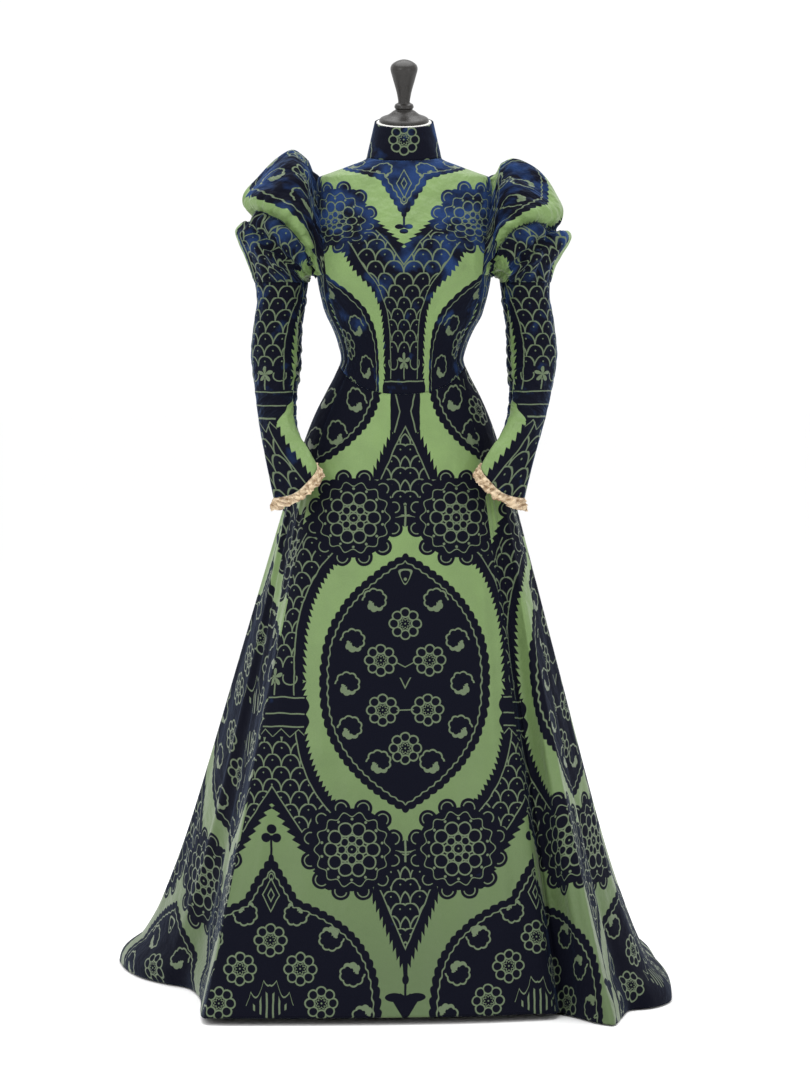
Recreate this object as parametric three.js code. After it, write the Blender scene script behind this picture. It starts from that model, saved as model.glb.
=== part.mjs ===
// A tea gown of voided velvet on a limbless dress form, in millimetres.
// +Z is up, the gown faces -Y, and the origin is on the floor at the axis of the stand.
// "left" and "right" are the wearer's own, so the left sleeve is at +X.
import * as THREE from "three";

// ---------------------------------------------------------------- driving dimensions

const VELVET = 2.4; // wall of velvet with its lining
const LACE = 1.4; // wall of the cuff frill
const SEAM = 0.3; // gap between two pieces at a seam
const WAIST_GAP = 0.5; // and where the bodice meets the skirt
const NECK_GAP = 0.45; // and where the collar stands on the bodice
const ARMHOLE_GAP = 1; // and between the bodice and the gathered sleeve head
const ON_FLOOR = 2.9; // height of the outer face of cloth that lies on the floor
const ROUND = 2.3; // how square the body's sections are: 2 is an ellipse

const WAIST_SEAM_FRONT = 980; // the bodice dips to a blunt point in front
const WAIST_SEAM_SIDE = 1026;
const HIP_Z = 903; // below this the skirt falls free
const UNDERARM_Z = 1175;
const SHOULDER_Z = 1335;
const NECK_FRONT_Z = 1361;
const NECK_SIDE_Z = 1368;
const NECK_BACK_Z = 1385;

const degrees = Math.PI / 180;
const { sin, cos, abs, sign, sqrt, min, max, PI } = Math;

// The gown's horizontal sections from hip to neck: half width, depth in front and behind the
// stand's axis, and how far the section's middle lies to the side.
const BODY = [
  { z: 780, half: 196, front: 150, back: 220, shift: -8 },
  { z: 860, half: 172, front: 128, back: 178, shift: -6 },
  { z: 903, half: 159, front: 117, back: 156, shift: -5 },
  { z: 950, half: 141, front: 107, back: 132, shift: -4 },
  { z: 985, half: 124, front: 99, back: 112, shift: -3 },
  { z: 1010, half: 111, front: 93, back: 95, shift: -3 },
  { z: 1038, half: 101, front: 89, back: 83, shift: -3 },
  { z: 1062, half: 106, front: 93, back: 82, shift: -2 },
  { z: 1085, half: 115, front: 102, back: 84, shift: -1 },
  { z: 1110, half: 128, front: 115, back: 88, shift: 0 },
  { z: 1138, half: 137, front: 125, back: 91, shift: 0 },
  { z: 1175, half: 144, front: 131, back: 95, shift: 0 },
  { z: 1210, half: 147, front: 130, back: 98, shift: 0 },
  { z: 1255, half: 149, front: 116, back: 99, shift: 0 },
  { z: 1300, half: 148, front: 94, back: 94, shift: 0 },
  { z: 1335, half: 142, front: 77, back: 86, shift: 0 },
  { z: 1345, half: 118, front: 71, back: 80, shift: 0 },
  { z: 1355, half: 91, front: 65, back: 74, shift: 0 },
  { z: 1368, half: 62, front: 59, back: 67, shift: 0 },
  { z: 1385, half: 59, front: 57, back: 61, shift: 0 },
];

// Side seams of the bodice, and the seams of the skirt, as angles round the body from centre front.
const BODICE_SIDE_FRONT = 62 * degrees;
const BODICE_SIDE_BACK = 118 * degrees;
const SKIRT_SEAMS = {
  right: -55 * degrees,
  left: 50 * degrees,
  rightBack: -112 * degrees,
  leftBack: 110 * degrees,
};

// The hem, once round. Each row is one fold's ridge or valley: the angle where its line starts at
// the hip, where it meets the floor, and sweep, the share of its run that is spent in the last
// stretch above the floor. The front hem clears the floor and the train lies on it.
const HEM = [
  { angle: -170, x: -76, y: 738, z: ON_FLOOR, sweep: 0.3 },
  { angle: -161, x: -134, y: 688, z: ON_FLOOR, sweep: 0.28 },
  { angle: -152, x: -206, y: 690, z: ON_FLOOR, sweep: 0.28 },
  { angle: -144, x: -256, y: 618, z: ON_FLOOR, sweep: 0.26 },
  { angle: -135, x: -332, y: 602, z: ON_FLOOR, sweep: 0.26 },
  { angle: -127, x: -370, y: 510, z: ON_FLOOR, sweep: 0.24 },
  { angle: -119, x: -442, y: 462, z: ON_FLOOR, sweep: 0.22 },
  { angle: -111, x: -468, y: 372, z: ON_FLOOR, sweep: 0.2 },
  { angle: -103, x: -490, y: 290, z: ON_FLOOR, sweep: 0.18 },
  { angle: -96, x: -474, y: 185, z: ON_FLOOR, sweep: 0.18 },
  { angle: -90, x: -438, y: 85, z: ON_FLOOR, sweep: 0.18 },
  { angle: -83, x: -396, y: 25, z: ON_FLOOR, sweep: 0.15 },
  { angle: -75, x: -356, y: -20, z: ON_FLOOR, sweep: 0.1 },
  { angle: -67, x: -328, y: -150, z: ON_FLOOR, sweep: 0.05 },
  { angle: -60, x: -322, y: -272, z: 4, sweep: 0 },
  { angle: -55, x: -311, y: -366, z: 11, sweep: 0 },
  { angle: -45, x: -262, y: -373, z: 12, sweep: 0 },
  { angle: -28, x: -160, y: -372, z: 12, sweep: 0 },
  { angle: 0, x: -20, y: -366, z: 12, sweep: 0 },
  { angle: 25, x: 105, y: -352, z: 12, sweep: 0 },
  { angle: 40, x: 186, y: -334, z: 12, sweep: 0 },
  { angle: 50, x: 237, y: -316, z: 10, sweep: 0 },
  { angle: 55, x: 247, y: -278, z: 6, sweep: 0 },
  { angle: 61, x: 266, y: -300, z: ON_FLOOR, sweep: 0 },
  { angle: 67, x: 300, y: -358, z: ON_FLOOR, sweep: 0.02 },
  { angle: 72, x: 325, y: -380, z: ON_FLOOR, sweep: 0.03 },
  { angle: 77, x: 342, y: -312, z: ON_FLOOR, sweep: 0.06 },
  { angle: 83, x: 360, y: -238, z: ON_FLOOR, sweep: 0.1 },
  { angle: 89, x: 396, y: -216, z: ON_FLOOR, sweep: 0.15 },
  { angle: 95, x: 432, y: -140, z: ON_FLOOR, sweep: 0.18 },
  { angle: 101, x: 438, y: -10, z: ON_FLOOR, sweep: 0.18 },
  { angle: 108, x: 430, y: 140, z: ON_FLOOR, sweep: 0.2 },
  { angle: 116, x: 428, y: 285, z: ON_FLOOR, sweep: 0.22 },
  { angle: 124, x: 394, y: 372, z: ON_FLOOR, sweep: 0.24 },
  { angle: 132, x: 388, y: 486, z: ON_FLOOR, sweep: 0.26 },
  { angle: 140, x: 324, y: 534, z: ON_FLOOR, sweep: 0.26 },
  { angle: 149, x: 288, y: 632, z: ON_FLOOR, sweep: 0.28 },
  { angle: 158, x: 200, y: 648, z: ON_FLOOR, sweep: 0.28 },
  { angle: 167, x: 130, y: 722, z: ON_FLOOR, sweep: 0.3 },
  { angle: 176, x: 34, y: 704, z: ON_FLOOR, sweep: 0.3 },
];
const SWEEP_POWER = 10; // how late the sweep of the train starts
const ROLL = { from: 0.945, out: 13 }; // the train's edge rolls over where it meets the floor

// The gathered sleeve head. Its rings turn about a line under the arm, from the armhole's plane
// (0 degrees) to level (90 degrees). Reach is the ring's far edge, depth its half depth.
const PUFF_PIVOT = { x: 146, y: 2, z: 1163 };
const PUFF_INNER = 12; // the rings' near edge, from the pivot
const PUFF_START = 4; // degrees, the ring that the armhole's gathers open to
const PUFF_RISE = 0.1; // share of the sleeve head between the armhole and that ring
const PUFF = [
  { angle: 4, right: 203, left: 196, depth: 74 },
  { angle: 10, right: 220, left: 207, depth: 84 },
  { angle: 17, right: 212, left: 202, depth: 91 },
  { angle: 25, right: 200, left: 193, depth: 95 },
  { angle: 34, right: 186, left: 180, depth: 96 },
  { angle: 42, right: 170, left: 164, depth: 92 },
  { angle: 48, right: 149, left: 144, depth: 80 },
  { angle: 52, right: 150, left: 141, depth: 79 },
  { angle: 57, right: 157, left: 143, depth: 86 },
  { angle: 62, right: 146, left: 137, depth: 84 },
  { angle: 68, right: 129, left: 119, depth: 74 },
  { angle: 75, right: 116, left: 104, depth: 65 },
  { angle: 83, right: 106, left: 98, depth: 55 },
  { angle: 90, right: 101, left: 96, depth: 49 },
];
const PUFF_FOLDS = { count: 7, height: 4.5 };

// The arm of the sleeve, from the sleeve head to the hand. Each row is one ring: its middle, the
// half width out to the side with how far that end drops, and the half depth with how far the
// front rises and how far it turns in. The sleeve bends forward at the elbow and is cut long
// over the hand.
const ARM = [
  { v: 1, x: 202, y: 2, z: 1162.6, out: 44, drop: 0, depth: 49, rise: 0, turn: 0 },
  { v: 0.91, x: 202, y: 4, z: 1134, out: 41, drop: 0, depth: 46, rise: 0, turn: 0 },
  { v: 0.81, x: 207, y: 7, z: 1101, out: 40.5, drop: 0, depth: 44, rise: 0, turn: 0 },
  { v: 0.71, x: 210, y: 8, z: 1068, out: 41.5, drop: 0, depth: 43, rise: 2, turn: 0 },
  { v: 0.64, x: 211, y: 4, z: 1046, out: 42, drop: 0, depth: 42, rise: 7, turn: 0 },
  { v: 0.55, x: 210, y: -9, z: 1017, out: 40, drop: 0, depth: 39, rise: 14, turn: 0 },
  { v: 0.45, x: 210, y: -28, z: 985, out: 35, drop: 0, depth: 35, rise: 17, turn: 0 },
  { v: 0.34, x: 208, y: -50, z: 951, out: 32, drop: 2, depth: 32, rise: 17, turn: 1 },
  { v: 0.24, x: 204, y: -71, z: 921, out: 30, drop: 6, depth: 31, rise: 15, turn: 5 },
  { v: 0.15, x: 198, y: -89, z: 895, out: 29, drop: 13, depth: 31, rise: 11, turn: 11 },
  { v: 0.07, x: 190, y: -103, z: 869, out: 29, drop: 24, depth: 33, rise: 4, turn: 20 },
  { v: 0, x: 183, y: -115, z: 845, out: 29, drop: 32, depth: 36, rise: -4, turn: 28 },
];
// The under sleeve's two seams, from the inside of the arm.
const SLEEVE_SEAM = { front: 30 * degrees, back: 66 * degrees };

const FRILL = { gap: 1.1, length: 13, flare: 7, waves: 14, wave: 2.6 };

// The stand collar's upper edge.
const COLLAR_TOP = { half: 48.5, front: 50.5, back: 49, z: 1428, slope: 0.24 };

// The wearer's sides. carry is how far the forearm is carried in towards the middle.
const SIDES = [
  { name: "left", sign: 1, carry: 16, forward: 9 },
  { name: "right", sign: -1, carry: 0, forward: 0 },
];

// The dress form inside, as sections from hip to neck, and its stand.
const FORM = [
  { z: 866, half: 152, front: 112, back: 148, shift: -5 },
  { z: 903, half: 147, front: 107, back: 142, shift: -5 },
  { z: 950, half: 131, front: 98, back: 120, shift: -4 },
  { z: 985, half: 115, front: 90, back: 101, shift: -3 },
  { z: 1010, half: 102, front: 84, back: 85, shift: -3 },
  { z: 1038, half: 93, front: 80, back: 74, shift: -3 },
  { z: 1085, half: 106, front: 93, back: 76, shift: -1 },
  { z: 1138, half: 127, front: 115, back: 82, shift: 0 },
  { z: 1175, half: 133, front: 121, back: 86, shift: 0 },
  { z: 1210, half: 133, front: 120, back: 89, shift: 0 },
  { z: 1255, half: 133, front: 106, back: 90, shift: 0 },
  { z: 1300, half: 132, front: 84, back: 84, shift: 0 },
  { z: 1322, half: 124, front: 73, back: 79, shift: 0 },
  { z: 1333, half: 106, front: 67, back: 74, shift: 0 },
  { z: 1343, half: 82, front: 60, back: 67, shift: 0 },
  { z: 1355, half: 57, front: 52, back: 58, shift: 0 },
  { z: 1376, half: 50, front: 49, back: 53, shift: 0 },
];
const NECK = { bottom: 1376.3, lowHalf: 49.5, lowDepth: 48, half: 45.4, depth: 45.6, z: 1428, slope: 0.24 };
const POLE_RADIUS = 14;
const BASE = { radius: 165, rim: 12, height: 26, hub: 34, hubHeight: 52 };

// The turned knob: radius and height above the neck's slanting top.
const KNOB = [
  { r: 40.5, h: 0 },
  { r: 41, h: 3 },
  { r: 38, h: 6.5 },
  { r: 27, h: 11 },
  { r: 19, h: 17 },
  { r: 14, h: 21 },
  { r: 16, h: 24.5 },
  { r: 15, h: 28.5 },
  { r: 9.6, h: 33 },
  { r: 12, h: 48 },
  { r: 18, h: 70 },
  { r: 22.5, h: 88 },
  { r: 21, h: 94 },
  { r: 12, h: 101 },
  { r: 4, h: 103.5 },
];
const KNOB_TOP = 104;

// ---------------------------------------------------------------- tables as smooth functions

// One column of a table as a smooth function of another, which never passes its rows' values.
function column(rows, by, key) {
  const x = rows.map((row) => row[by]);
  const y = rows.map((row) => row[key]);
  if (x[0] > x[x.length - 1]) {
    x.reverse();
    y.reverse();
  }
  const last = x.length - 1;
  const step = x.slice(1).map((value, i) => value - x[i]);
  const slope = step.map((width, i) => (y[i + 1] - y[i]) / width);
  const tangent = x.map((_, i) => {
    if (i === 0) return slope[0];
    if (i === last) return slope[last - 1];
    if (slope[i - 1] * slope[i] <= 0) return 0;
    const near = 2 * step[i] + step[i - 1];
    const far = step[i] + 2 * step[i - 1];
    return (near + far) / (near / slope[i - 1] + far / slope[i]);
  });
  return (at) => {
    const place = min(max(at, x[0]), x[last]);
    let i = 0;
    while (i < last - 1 && place > x[i + 1]) i += 1;
    const t = (place - x[i]) / step[i];
    const rest = 1 - t;
    return (
      rest * rest * ((1 + 2 * t) * y[i] + t * step[i] * tangent[i]) +
      t * t * ((3 - 2 * t) * y[i + 1] - rest * step[i] * tangent[i + 1])
    );
  };
}

function columns(rows, by, keys) {
  return Object.fromEntries(keys.map((key) => [key, column(rows, by, key)]));
}

const lerp = (from, to, share) => from + (to - from) * share;
const smooth = (share) => share * share * (3 - 2 * share);
const steps = (from, to, count) => Array.from({ length: count + 1 }, (_, i) => lerp(from, to, i / count));

// ---------------------------------------------------------------- the garment's surfaces
// Each surface is a function of (across, up): across runs to the right as seen from outside, in
// radians, and up is 0 at the piece's lower edge and 1 at its upper one.

const body = columns(BODY, "z", ["half", "front", "back", "shift"]);
const form = columns(FORM, "z", ["half", "front", "back", "shift"]);

function section(table, angle, z) {
  const s = sin(angle);
  const c = cos(angle);
  const power = 2 / ROUND;
  const depth = c > 0 ? table.front(z) : table.back(z);
  return new THREE.Vector3(
    table.shift(z) + table.half(z) * sign(s) * abs(s) ** power,
    -depth * sign(c) * abs(c) ** power,
    z,
  );
}

const waistSeam = (angle) => lerp(WAIST_SEAM_SIDE, WAIST_SEAM_FRONT, max(0, cos(angle)) ** 2);

function neckline(angle) {
  const c = cos(angle);
  return lerp(NECK_SIDE_Z, c > 0 ? NECK_FRONT_Z : NECK_BACK_Z, c * c);
}

// Shares of the bodice's height at the underarm and at the shoulder point.
const AT_UNDERARM = 0.45;
const AT_SHOULDER = 0.75;

function bodiceHeight(angle, up) {
  const armholeShare = (up - AT_UNDERARM) / (AT_SHOULDER - AT_UNDERARM);
  if (up <= AT_UNDERARM) return lerp(waistSeam(angle) + WAIST_GAP / 2, UNDERARM_Z, up / AT_UNDERARM);
  if (up <= AT_SHOULDER) return lerp(UNDERARM_Z, SHOULDER_Z, armholeShare);
  return lerp(SHOULDER_Z, neckline(angle), (up - AT_SHOULDER) / (1 - AT_SHOULDER));
}

const bodice = (angle, up) => section(body, angle, bodiceHeight(angle, up));

// How far the side seam or the armhole lies from straight sideways, at a share of the height.
function armholeCurve(up) {
  const share = min(max((up - AT_UNDERARM) / (AT_SHOULDER - AT_UNDERARM), 0), 1);
  return 1 - share ** 2.2;
}
const frontEdge = (up) => lerp(PI / 2, BODICE_SIDE_FRONT, armholeCurve(up));
const backEdge = (up) => lerp(PI / 2, BODICE_SIDE_BACK, armholeCurve(up));

// The hem's table runs once round and on past both ends, so that its columns join smoothly.
const hemRound = [-360, 0, 360].flatMap((turn) =>
  HEM.map((row) => ({ ...row, turned: (row.angle + turn) * degrees })),
);
const hem = columns(hemRound, "turned", ["x", "y", "z", "sweep"]);

const HIP_SHARE = 0.12; // share of the skirt's height above the hip

function skirt(angle, up) {
  const down = 1 - up;
  if (down < HIP_SHARE) {
    return section(body, angle, lerp(waistSeam(angle) - WAIST_GAP / 2, HIP_Z, down / HIP_SHARE));
  }
  const share = (down - HIP_SHARE) / (1 - HIP_SHARE);
  const hip = section(body, angle, HIP_Z);
  const sweep = hem.sweep(angle);
  const run = lerp(share, share ** SWEEP_POWER, sweep);
  const foot = new THREE.Vector3(hem.x(angle), hem.y(angle), hem.z(angle));
  const point = new THREE.Vector3(
    lerp(hip.x, foot.x, run),
    lerp(hip.y, foot.y, run),
    lerp(HIP_Z, foot.z, share),
  );
  const lying = min(1, sweep / 0.15);
  const roll = ROLL.out * lying * sin(PI * max(0, (share - ROLL.from) / (1 - ROLL.from)));
  const outward = new THREE.Vector3(foot.x, foot.y - 100, 0).normalize();
  return point.addScaledVector(outward, roll);
}

const ARMHOLE_CORNER = 0.75; // where its edge turns under the arm

// The edge of the armhole: 0 at the shoulder, half a turn at the underarm.
function armhole(side, around) {
  const turned = Math.atan2(sin(around), cos(around));
  const share = abs(turned) / PI;
  const behind = side.sign * sin(turned) > 0;
  let up = AT_UNDERARM;
  let angle;
  if (share < ARMHOLE_CORNER) {
    up = lerp(AT_SHOULDER, AT_UNDERARM, share / ARMHOLE_CORNER);
    angle = behind ? backEdge(up) : frontEdge(up);
  } else {
    const past = (share - ARMHOLE_CORNER) / (1 - ARMHOLE_CORNER);
    angle = lerp(behind ? BODICE_SIDE_BACK : BODICE_SIDE_FRONT, PI / 2, past);
  }
  const point = bodice(side.sign * angle, up);
  point.x += side.sign * ARMHOLE_GAP;
  return point;
}

const puffTable = columns(PUFF, "angle", ["left", "right", "depth"]);

function puffRing(side, around, degreesOut) {
  const lean = degreesOut * degrees;
  const reach = puffTable[side.name](degreesOut);
  const full = sin(PI * min(1, degreesOut / 90)) ** 0.5;
  const wave = cos(PUFF_FOLDS.count * around + side.sign + degreesOut / 18);
  const fold = PUFF_FOLDS.height * full * wave * (0.5 + 0.5 * cos(around));
  const half = (reach - PUFF_INNER) / 2;
  const along = PUFF_INNER + half + (half + fold) * cos(around);
  return new THREE.Vector3(
    side.sign * (PUFF_PIVOT.x + sin(lean) * along),
    PUFF_PIVOT.y + side.sign * sin(around) * (puffTable.depth(degreesOut) + fold),
    PUFF_PIVOT.z + cos(lean) * along,
  );
}

function puff(side, around, up) {
  const down = 1 - up;
  if (down >= PUFF_RISE) {
    return puffRing(side, around, lerp(PUFF_START, 90, (down - PUFF_RISE) / (1 - PUFF_RISE)));
  }
  return armhole(side, around).lerp(puffRing(side, around, PUFF_START), down / PUFF_RISE);
}

const arm = columns(ARM, "v", ["x", "y", "z", "out", "drop", "depth", "rise", "turn"]);
const ARM_REACH = [puffTable.left(90), puffTable.right(90)];

function sleeve(side, around, up) {
  const carried = smooth(max(0, 1 - up / 0.6));
  const ahead = -side.sign * sin(around);
  // The two heads end a little differently.
  const wider = (puffTable[side.name](90) - max(...ARM_REACH)) / 2;
  const taper = wider * smooth(max(0, (up - 0.85) / 0.15));
  const turned = arm.turn(up) * smooth(max(0, ahead));
  return new THREE.Vector3(
    side.sign * (arm.x(up) + taper - side.carry * carried - turned + cos(around) * (arm.out(up) + taper)),
    arm.y(up) - side.forward * carried - ahead * arm.depth(up),
    arm.z(up) - cos(around) * arm.drop(up) + ahead * arm.rise(up),
  );
}

const sleeveMiddle = (side, up) => sleeve(side, 0, up).add(sleeve(side, PI, up)).multiplyScalar(0.5);

// The way the forearm runs where the sleeve ends.
const handWay = (side) => sleeveMiddle(side, 0).sub(sleeveMiddle(side, 0.1)).normalize();

function frill(side, around, up) {
  const down = 1 - up;
  const edge = sleeve(side, around, 0);
  const outward = edge.clone().sub(sleeveMiddle(side, 0)).projectOnPlane(handWay(side)).normalize();
  const spread = FRILL.flare * down + FRILL.wave * smooth(down) * cos(FRILL.waves * around);
  edge.addScaledVector(handWay(side), FRILL.gap + FRILL.length * down);
  return edge.addScaledVector(outward, spread);
}

function collar(angle, up) {
  const low = section(body, angle, neckline(angle));
  low.z += NECK_GAP;
  const c = cos(angle);
  const depth = c > 0 ? COLLAR_TOP.front : COLLAR_TOP.back;
  const high = new THREE.Vector3(COLLAR_TOP.half * sin(angle), -depth * c, 0);
  high.z = COLLAR_TOP.z + COLLAR_TOP.slope * high.y;
  return low.lerp(high, up);
}

// ---------------------------------------------------------------- from surface to solid

// The outward normal at a point, and how wide the surface runs there for each radian across.
function frameAt(surface, across, up) {
  const d = 0.004;
  const right = surface(across + d, up).sub(surface(across - d, up)).divideScalar(2 * d);
  const above = surface(across, min(1, up + d)).sub(surface(across, max(0, up - d)));
  const normal = right.cross(above);
  const width = normal.length() / above.length();
  return { normal: normal.normalize(), width };
}

// A closed wall under a surface: rows of points at each height in ups, from low(up) to high(up)
// across with stops as their shares of the way, and the same points moved in by the wall's
// thickness. round closes it into a ring. A wall whose head or foot is cut square to a direction
// keeps that edge in one plane.
function wall(surface, { ups, low, high, stops, thick, round = false, head = null, foot = null }) {
  const count = stops.length - 1;
  const across = count + (round ? 0 : 1);
  const outer = [];
  const inner = [];
  for (const up of ups) {
    const square = (up === ups[0] && foot) || (up === ups[ups.length - 1] && head);
    for (let i = 0; i < across; i += 1) {
      const at = lerp(low(up), high(up), stops[i]);
      const { normal, width } = frameAt(surface, at, up);
      const inset = round ? 0 : ((i === 0) - (i === count)) * (SEAM / 2 / width);
      const point = surface(at + inset, up);
      if (square) normal.projectOnPlane(square).normalize();
      outer.push(point);
      inner.push(point.clone().addScaledVector(normal, -thick));
    }
  }
  const rows = ups.length;
  const behind = outer.length;
  const index = [];
  const quad = (a, b, c, d) => index.push(a, b, c, a, c, d);
  const place = (row, i) => row * across + (i % across);
  for (let row = 0; row < rows - 1; row += 1) {
    for (let i = 0; i < count; i += 1) {
      const [a, b, c, d] = [place(row, i), place(row, i + 1), place(row + 1, i + 1), place(row + 1, i)];
      quad(a, b, c, d);
      quad(behind + d, behind + c, behind + b, behind + a);
    }
  }
  for (let i = 0; i < count; i += 1) {
    const [a, b] = [place(0, i), place(0, i + 1)];
    quad(behind + a, behind + b, b, a);
    const [c, d] = [place(rows - 1, i), place(rows - 1, i + 1)];
    quad(behind + c, c, d, behind + d);
  }
  for (let row = 0; row < rows - 1 && !round; row += 1) {
    const [a, b] = [place(row, 0), place(row + 1, 0)];
    quad(behind + a, a, b, behind + b);
    const [c, d] = [place(row, count), place(row + 1, count)];
    quad(behind + c, behind + d, d, c);
  }
  return indexed([...outer, ...inner], index);
}

// A solid through closed rings of points, each ring running to the right as seen from outside,
// from the lowest ring to the highest.
function loft(rings) {
  const count = rings[0].length;
  const points = rings.flat();
  const index = [];
  rings.slice(1).forEach((_, row) => {
    for (let i = 0; i < count; i += 1) {
      const next = (i + 1) % count;
      const [a, b] = [row * count + i, row * count + next];
      index.push(a, b, b + count, a, b + count, a + count);
    }
  });
  const middle = (ring) => ring.reduce((sum, p) => sum.add(p), new THREE.Vector3()).divideScalar(count);
  const foot = points.push(middle(rings[0])) - 1;
  const head = points.push(middle(rings[rings.length - 1])) - 1;
  const top = (rings.length - 1) * count;
  for (let i = 0; i < count; i += 1) {
    const next = (i + 1) % count;
    index.push(foot, next, i, head, top + i, top + next);
  }
  return indexed(points, index);
}

function indexed(points, index) {
  const geometry = new THREE.BufferGeometry().setFromPoints(points);
  geometry.setIndex(index);
  geometry.computeVertexNormals();
  return geometry;
}

// ---------------------------------------------------------------- materials

const velvet = new THREE.MeshStandardMaterial({ name: "voided_velvet", color: 0x141c3c, roughness: 0.85 });
const sideVelvet = new THREE.MeshStandardMaterial({ name: "velvet_side", color: 0x16204a, roughness: 0.85 });
const lace = new THREE.MeshStandardMaterial({ name: "cuff_lace", color: 0xd9bf94, roughness: 0.9 });
const calico = new THREE.MeshStandardMaterial({ name: "form_calico", color: 0xe9e7e1, roughness: 0.9 });
const ebonised = new THREE.MeshStandardMaterial({ name: "ebonised_wood", color: 0x1d1a18, roughness: 0.35 });

const gown = new THREE.Group();

function add(name, geometry, material) {
  const mesh = new THREE.Mesh(geometry, material);
  mesh.name = name;
  gown.add(mesh);
}

// ---------------------------------------------------------------- the bodice and collar

const level = (value) => () => value;
const evenly = (count) => steps(0, 1, count);
const bodiceRows = [
  ...steps(0, AT_UNDERARM, 6),
  ...steps(AT_UNDERARM, AT_SHOULDER, 4).slice(1),
  ...steps(AT_SHOULDER, 1, 3).slice(1),
];
const sideRows = bodiceRows.filter((up) => up <= AT_UNDERARM + 1e-9);

const bodiceFront = { low: (up) => -frontEdge(up), high: frontEdge, stops: evenly(20), thick: VELVET };
add("bodice_front", wall(bodice, { ups: bodiceRows, ...bodiceFront }), velvet);
for (const side of SIDES) {
  const left = side.sign > 0;
  const seams = left ? [BODICE_SIDE_FRONT, BODICE_SIDE_BACK] : [-BODICE_SIDE_BACK, -BODICE_SIDE_FRONT];
  const sideBody = { low: level(seams[0]), high: level(seams[1]), stops: evenly(6), thick: VELVET };
  add(`bodice_side_${side.name}`, wall(bodice, { ups: sideRows, ...sideBody }), sideVelvet);
  const backSeams = left ? [backEdge, level(PI)] : [level(-PI), (up) => -backEdge(up)];
  const back = { low: backSeams[0], high: backSeams[1], stops: evenly(9), thick: VELVET };
  add(`bodice_back_${side.name}`, wall(bodice, { ups: bodiceRows, ...back }), velvet);
}

add(
  "collar",
  wall(collar, { ups: steps(0, 1, 2), low: level(-PI), high: level(PI), stops: evenly(32), thick: VELVET }),
  velvet,
);

// ---------------------------------------------------------------- the skirt and its train

const skirtRows = [0, 0.02, 0.045, 0.09, 0.16, 0.27, 0.42, 0.6, 0.76, 0.88, 0.94, 1];
const skirtPanels = [
  { name: "skirt_front", low: SKIRT_SEAMS.right, high: SKIRT_SEAMS.left, material: velvet },
  { name: "skirt_side_left", low: SKIRT_SEAMS.left, high: SKIRT_SEAMS.leftBack, material: sideVelvet },
  { name: "skirt_side_right", low: SKIRT_SEAMS.rightBack, high: SKIRT_SEAMS.right, material: sideVelvet },
  { name: "skirt_back_left", low: SKIRT_SEAMS.leftBack, high: PI, material: velvet },
  { name: "skirt_back_right", low: -PI, high: SKIRT_SEAMS.rightBack, material: velvet },
];
const WIDEST_STEP = 5 * degrees;
const SEAM_CLEAR = 1.7 * degrees; // a fold nearer than this to a seam gets no row of its own

// A panel's points lie on its folds' ridges and valleys, and between those that are far apart.
function foldStops(low, high) {
  const clear = (at) => at > low + SEAM_CLEAR && at < high - SEAM_CLEAR;
  const folds = HEM.map((row) => row.angle * degrees).filter(clear);
  const marks = [low, ...folds, high];
  const angles = marks.slice(1).flatMap((mark, i) => {
    const count = max(1, Math.round((mark - marks[i]) / WIDEST_STEP));
    return steps(marks[i], mark, count).slice(1);
  });
  return [low, ...angles].map((at) => (at - low) / (high - low));
}

for (const { name, low, high, material } of skirtPanels) {
  const edges = { low: level(low), high: level(high) };
  add(name, wall(skirt, { ups: skirtRows, ...edges, stops: foldStops(low, high), thick: VELVET }), material);
}

// ---------------------------------------------------------------- the sleeves and their lace

const puffRows = [0, 0.1, 0.21, 0.31, 0.38, 0.43, 0.48, 0.54, 0.62, 0.71, 0.8, 0.87, 0.93, 1];
const armRows = steps(0, 1, 11);
const UPWARD = new THREE.Vector3(0, 0, 1);

for (const side of SIDES) {
  const headOf = (around, up) => puff(side, around, up);
  const armOf = (around, up) => sleeve(side, around, up);
  const frillOf = (around, up) => frill(side, around, up);
  const ring = { low: level(0), high: level(2 * PI), round: true };
  const armEnds = { ups: armRows, thick: VELVET, head: UPWARD, foot: handWay(side) };

  // The under sleeve lies on the inside of the arm, half a turn round.
  const frontSeam = PI + side.sign * SLEEVE_SEAM.front;
  const backSeam = PI - side.sign * SLEEVE_SEAM.back;
  const from = min(frontSeam, backSeam);
  const to = max(frontSeam, backSeam);
  const under = { ...armEnds, low: level(from), high: level(to), stops: evenly(6) };
  const upper = { ...armEnds, low: level(to - 2 * PI), high: level(from), stops: evenly(14) };
  const head = { ...ring, ups: puffRows, stops: evenly(26), thick: VELVET, foot: UPWARD };
  const lacing = { ...ring, ups: [0, 0.5, 1], stops: evenly(FRILL.waves * 4), thick: LACE };
  lacing.head = handWay(side);
  add(`sleeve_head_${side.name}`, wall(headOf, head), velvet);
  add(`sleeve_upper_${side.name}`, wall(armOf, upper), velvet);
  add(`sleeve_under_${side.name}`, wall(armOf, under), sideVelvet);
  add(`cuff_frill_${side.name}`, wall(frillOf, lacing), lace);
}

// ---------------------------------------------------------------- the dress form

const formRing = (z) => steps(-PI, PI, 22).slice(1).map((angle) => section(form, angle, z));
add("form_torso", loft(FORM.map((row) => formRing(row.z))), calico);

function neckRing(share) {
  return steps(-PI, PI, 24).slice(1).map((angle) => {
    const half = lerp(NECK.lowHalf, NECK.half, share);
    const depth = lerp(NECK.lowDepth, NECK.depth, share);
    const point = new THREE.Vector3(half * sin(angle), -depth * cos(angle), 0);
    point.z = lerp(NECK.bottom, NECK.z + NECK.slope * point.y, share);
    return point;
  });
}
add("form_neck", loft([0, 0.5, 1].map(neckRing)), calico);

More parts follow.
